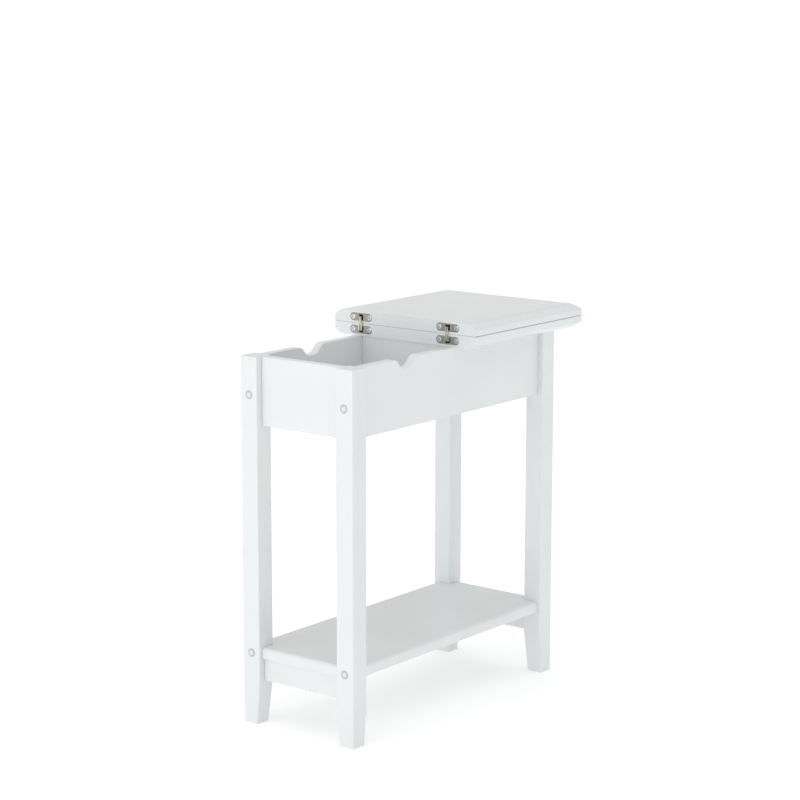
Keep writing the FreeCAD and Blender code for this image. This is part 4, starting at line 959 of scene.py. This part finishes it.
def make_outlet():
    """The mains outlet's insert: two blade slots and the ground hole."""
    charger = settings("charger")
    low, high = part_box("outlet_insert")
    wide, tall, thick = high - low
    middle = (low + high) / 2
    edge, corner, slot_corner, lip, deepest = 0.0005, 0.002, 0.0003, 0.0002, 0.009
    back_wall, sleeve_top, skin = 0.001, 0.001, 0.0001
    sink = min(deepest, thick - back_wall)
    mesh = bmesh.new()
    under, face = stack(mesh, (middle.x, middle.y, low.z), [
        (wide, tall, corner, 0), (wide, tall, corner, thick - edge),
        (wide - edge * 0.6, tall - edge * 0.6, corner - edge * 0.3, thick - edge * 0.3),
        (wide - edge * 2, tall - edge * 2, corner - edge, thick)])
    close(mesh, under)
    bore = charger.ground_hole
    openings = [(charger.blade_offset, middle.y + charger.blade_spacing / 2 * side,
                 charger.slot_length, charger.slot_width, slot_corner) for side in SIDES]
    openings.append((charger.ground_offset, middle.y, bore, bore, bore / 2))
    rims = [hole(mesh, (x, y, high.z), [
        (long + lip * 2, narrow + lip * 2, radius + lip, 0), (long, narrow, radius, -lip),
        (long, narrow, radius, -sink)], "z", 5) for x, y, long, narrow, radius in openings]
    # The ground hole's sleeve takes the port steel, which is painted dark inside it as painted shade.
    for wall in mesh.faces:
        spot = wall.calc_center_median()
        if (math.hypot(spot.x - charger.ground_offset, spot.y - middle.y) < bore
                and low.z + skin < spot.z < high.z - sleeve_top):
            wall.material_index = 1
    fill_round(mesh, face, rims, (0, 0, 1))
    return stand_for(mesh, "outlet_face", "white_plastic", BODY, "outlet_insert",
                     look="insert_plastic", more=("port_steel",))


def make_ports():
    """The drawn steel shells of the two ports, with their rims turned over a little."""
    charger = settings("charger")
    low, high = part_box("usb_port_shells")
    wide, tall, deep = high.x - low.x, charger.port_height, high.z - low.z
    wall = charger.shell_wall
    corner, rim_corner, inner_corner = 0.0007, 0.0006, 0.0005
    inner = (wide - wall * 2, tall - wall * 2, inner_corner)
    mesh = bmesh.new()
    for y in port_places():
        for end in stack(mesh, ((low.x + high.x) / 2, y, low.z), [
                (wide, tall, corner, 0), (wide, tall, corner, deep - wall / 2),
                (wide - wall, tall - wall, rim_corner, deep),
                (*inner, deep - wall / 2), (*inner, wall)], "z", 4):
            close(mesh, end)
    return stand_for(mesh, "charging_port_shells", "port_steel", BODY, "usb_port_shells")


def make_tongues():
    """The ports' bases, each with its tongue and a row of plated contacts on one face."""
    charger = settings("charger")
    low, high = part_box("usb_port_tongues")
    base_tall = high.y - low.y - (port_places()[1] - port_places()[0])
    base_top = low.z + charger.port_base
    half = charger.tongue_width / 2
    pitch = charger.tongue_width / (charger.contacts + 0.5)
    half_contact = pitch * 0.22
    sunk, tongue_edge, contact_foot, contact_top = 0.0001, 0.00025, 0.0065, 0.0008
    mesh = bmesh.new()
    for y in port_places():
        block(mesh, (low.x, y - base_tall / 2, low.z), (high.x, y + base_tall / 2, base_top))
        under = y - charger.port_height / 2 + charger.shell_wall * 2
        face_y = under + charger.tongue_height
        verts = block(mesh, (-half, under, base_top - sunk), (half, face_y, high.z))
        edges = each_once(edge for vert in verts for edge in vert.link_edges)
        soften(mesh, edges, tongue_edge, 2)
        for number in range(charger.contacts):
            x = (number - (charger.contacts - 1) / 2) * pitch
            verts = block(mesh, (x - half_contact, face_y - sunk, high.z - contact_foot),
                          (x + half_contact, face_y + sunk, high.z - contact_top))
            for face in each_once(face for vert in verts for face in vert.link_faces):
                face.material_index = 1
    return stand_for(mesh, "charging_port_tongues", "white_plastic", BODY, "usb_port_tongues",
                     look="insert_plastic", more=("brass",))


def make_light():
    """The little domed lens that shows the charger is live."""
    low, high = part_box("status_light")
    radius, tall = (high.x - low.x) / 2, high.z - low.z
    dome = min(tall * 0.3, radius * 0.5)
    leans = [math.radians(angle) for angle in (12, 32, 52, 72, 90)]
    profile = [(radius * math.sin(lean), tall - dome + dome * math.cos(lean)) for lean in leans]
    mesh = bmesh.new()
    turned(mesh, ((low.x + high.x) / 2, (low.y + high.y) / 2, low.z), profile + [(radius, 0)])
    return stand_for(mesh, "charging_light", "light_lens", BODY, "status_light")


def make_plate_screws():
    """The two pan-head screws that hold the face plate."""
    low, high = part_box("power_plate_screws")
    plate_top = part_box("power_plate")[1].z
    radius, rise = (high.x - low.x) / 2, high.z - plate_top
    shank = radius * 0.46
    recess = (0.0040, 0.0010, 0.0011)
    first_twist, next_twist = 41, -64
    head = screw_head([(radius * 0.62, rise), (radius * 0.84, rise * 0.86),
                       (radius * 0.96, rise * 0.58), (radius, rise * 0.25), (radius, 0),
                       (shank, 0), (shank, low.z - plate_top)], *recess)
    places = []
    for number, y in enumerate(plate_screw_places()):
        twist = Matrix.Rotation(math.radians(first_twist + next_twist * number), 4, "Z")
        places.append(Matrix.Translation(((low.x + high.x) / 2, y, plate_top)) @ twist)
    mesh = bmesh.new()
    place_copies(mesh, head, places)
    return stand_for(mesh, "face_plate_screw_heads", "zinc_steel", BODY, "power_plate_screws")


# ---- stage


def make_floor(scene):
    """A pale floor, so large that its edge is never seen."""
    half_size = 150.0
    mesh = bmesh.new()
    bmesh.ops.create_grid(mesh, x_segments=1, y_segments=1, size=half_size)
    data = bpy.data.meshes.new("studio_floor")
    mesh.to_mesh(data)
    mesh.free()
    data.materials.append(studio_paint("studio_floor"))
    floor = bpy.data.objects.new("studio_floor", data)
    scene.collection.objects.link(floor)


def make_air(scene):
    """Light from all round, with a pale band low down that stands for the backdrop."""
    stage = scene.table_stage
    band_top, horizon_at = 0.17, 0.27
    world = bpy.data.worlds.new("studio_air")
    world.use_nodes = True
    tree = world.node_tree
    air = tree.nodes["Background"]
    air.inputs["Strength"].default_value = stage.zenith
    way = add(tree, "ShaderNodeTexCoord").outputs["Generated"]
    height = add(tree, "ShaderNodeSeparateXYZ", {"Vector": way}).outputs["Z"]
    backdrop, horizon = (shade(WHITE, part / stage.zenith)
                         for part in (stage.backdrop, stage.horizon))
    sky = ramp(tree, height, [(0.0, backdrop), (band_top, backdrop), (horizon_at, horizon),
                              (1.0, WHITE)])
    tree.links.new(sky, air.inputs["Color"])
    scene.world = world


def make_lights(scene):
    """Two square soft lights, both turned to the table's middle."""
    stage = scene.table_stage
    middle = Vector((0.0, 0.0, 0.35))
    lights = (("front_softbox", (-0.4, -2.7, 0.65), 1.6, stage.key),
              ("side_softbox", (1.7, -0.8, 2.1), 1.4, stage.fill))
    for name, spot, size, power in lights:
        light = bpy.data.lights.new(name, "AREA")
        light.energy = power
        light.size = size
        lamp = bpy.data.objects.new(name, light)
        lamp.location = spot
        lamp.rotation_euler = (middle - Vector(spot)).to_track_quat("-Z", "Y").to_euler()
        scene.collection.objects.link(lamp)


def make_camera(scene):
    """The camera, high in front of the table's right corner."""
    place = (2.29506, -2.94922, 1.19211)
    turn, tilt, roll = 0.6655, 0.1854, 0.0011
    data = bpy.data.cameras.new("camera")
    data.lens = scene.table_stage.lens
    data.sensor_width = 36.0
    data.clip_end = 500.0
    camera = bpy.data.objects.new("camera", data)
    camera.matrix_world = (Matrix.Translation(place) @ Matrix.Rotation(turn, 4, "Z")
                           @ Matrix.Rotation(math.radians(90) - tilt, 4, "X")
                           @ Matrix.Rotation(roll, 4, "Z"))
    scene.collection.objects.link(camera)
    scene.camera = camera
    scene.view_settings.view_transform = "Standard"


# ---- operators


class END_TABLE_OT_legs(bpy.types.Operator):
    """Make the four legs with their tapered feet and bolt holes"""

    bl_idname = "end_table.make_legs"
    bl_label = "Legs"

    def execute(self, context):
        for end in ("front", "rear"):
            for side in ("right", "left"):
                make_leg(end, side)
        return {"FINISHED"}


class END_TABLE_OT_skirt(bpy.types.Operator):
    """Make the panels round the storage bay, two of them with a finger notch"""

    bl_idname = "end_table.make_skirt"
    bl_label = "Skirt panels"

    def execute(self, context):
        make_board("front_panel", "front_end_panel")
        make_board("rear_panel", "rear_end_panel")
        make_board("divider_panel", "bay_divider")
        for side in ("right", "left"):
            make_side_panel(side)
        return {"FINISHED"}


class END_TABLE_OT_shelf(bpy.types.Operator):
    """Make the low shelf and the rails under its ends"""

    bl_idname = "end_table.make_shelf"
    bl_label = "Shelf"

    def execute(self, context):
        make_shelf_board()
        make_board("front_shelf_rail", "front_low_rail")
        make_board("rear_shelf_rail", "rear_low_rail")
        return {"FINISHED"}


class END_TABLE_OT_leaves(bpy.types.Operator):
    """Make the fixed leaf and the lift leaf of the top"""

    bl_idname = "end_table.make_leaves"
    bl_label = "Leaves"

    def execute(self, context):
        make_leaf("fixed_top_leaf", "fixed_leaf", BODY, False)
        make_leaf("lift_top_leaf", "flip_leaf", LEAF, True)
        return {"FINISHED"}


class END_TABLE_OT_pads_and_plugs(bpy.types.Operator):
    """Make the bumper pads and the plugs over the bolts"""

    bl_idname = "end_table.make_pads_and_plugs"
    bl_label = "Pads and plugs"

    def execute(self, context):
        make_pads()
        make_plugs()
        return {"FINISHED"}


class END_TABLE_OT_hinges(bpy.types.Operator):
    """Make the concealed hinges' cups and their screws"""

    bl_idname = "end_table.make_hinges"
    bl_label = "Hinges"

    def execute(self, context):
        for half, body in (("fixed", BODY), ("lift", LEAF)):
            make_cups(half, body)
            make_cup_screws(half, body)
        return {"FINISHED"}


class END_TABLE_OT_charging_unit(bpy.types.Operator):
    """Make the charging unit in the bay's floor"""

    bl_idname = "end_table.make_charging_unit"
    bl_label = "Charging unit"

    def execute(self, context):
        for make in (make_face_plate, make_outlet, make_ports, make_tongues, make_light,
                     make_plate_screws):
            make()
        return {"FINISHED"}


class END_TABLE_OT_kept_pieces(bpy.types.Operator):
    """Give every piece that stays as the frame has it the finish of its slot"""

    bl_idname = "end_table.finish_kept_pieces"
    bl_label = "Finish the kept pieces"

    def execute(self, context):
        for part in frame["record"]["subparts"]:
            for place in frame["nodes"][part["node"]].material_slots:
                place.material = finish(part["material_slot"])
        return {"FINISHED"}


class END_TABLE_OT_stage(bpy.types.Operator):
    """Set up the floor, the studio light and the camera"""

    bl_idname = "end_table.make_stage"
    bl_label = "Stage"

    def execute(self, context):
        for make in (make_floor, make_air, make_lights, make_camera):
            make(context.scene)
        return {"FINISHED"}


PIECE_OPERATORS = (END_TABLE_OT_legs, END_TABLE_OT_skirt, END_TABLE_OT_shelf,
                   END_TABLE_OT_leaves, END_TABLE_OT_pads_and_plugs, END_TABLE_OT_hinges,
                   END_TABLE_OT_charging_unit, END_TABLE_OT_kept_pieces, END_TABLE_OT_stage)
SETTINGS = {"table_paint": PaintSettings, "table_woodwork": WoodworkSettings,
            "table_hardware": HardwareSettings, "table_charger": ChargerSettings,
            "table_stage": StageSettings}


class END_TABLE_PT_panel(bpy.types.Panel):
    """The end table's sizes, colours and steps"""

    bl_idname = "END_TABLE_PT_panel"
    bl_label = "End table"
    bl_space_type = "VIEW_3D"
    bl_region_type = "UI"
    bl_category = "End table"

    def draw(self, context):
        for name, group in SETTINGS.items():
            box = self.layout.box()
            box.label(text=name.replace("_", " ").capitalize())
            for setting in group.__annotations__:
                box.prop(getattr(context.scene, name), setting)
        for operator in PIECE_OPERATORS:
            self.layout.operator(operator.bl_idname)


CLASSES = (*SETTINGS.values(), *PIECE_OPERATORS, END_TABLE_PT_panel)


def register():
    for kind in CLASSES:
        bpy.utils.register_class(kind)
    for name, group in SETTINGS.items():
        setattr(bpy.types.Scene, name, PointerProperty(type=group))


def unregister():
    for name in SETTINGS:
        delattr(bpy.types.Scene, name)
    for kind in reversed(CLASSES):
        bpy.utils.unregister_class(kind)


def main():
    """Make every piece in order."""
    register()
    bpy.ops.end_table.make_legs()
    bpy.ops.end_table.make_skirt()
    bpy.ops.end_table.make_shelf()
    bpy.ops.end_table.make_leaves()
    bpy.ops.end_table.make_pads_and_plugs()
    bpy.ops.end_table.make_hinges()
    bpy.ops.end_table.make_charging_unit()
    bpy.ops.end_table.finish_kept_pieces()
    bpy.ops.end_table.make_stage()


if __name__ == "__main__":
    main()
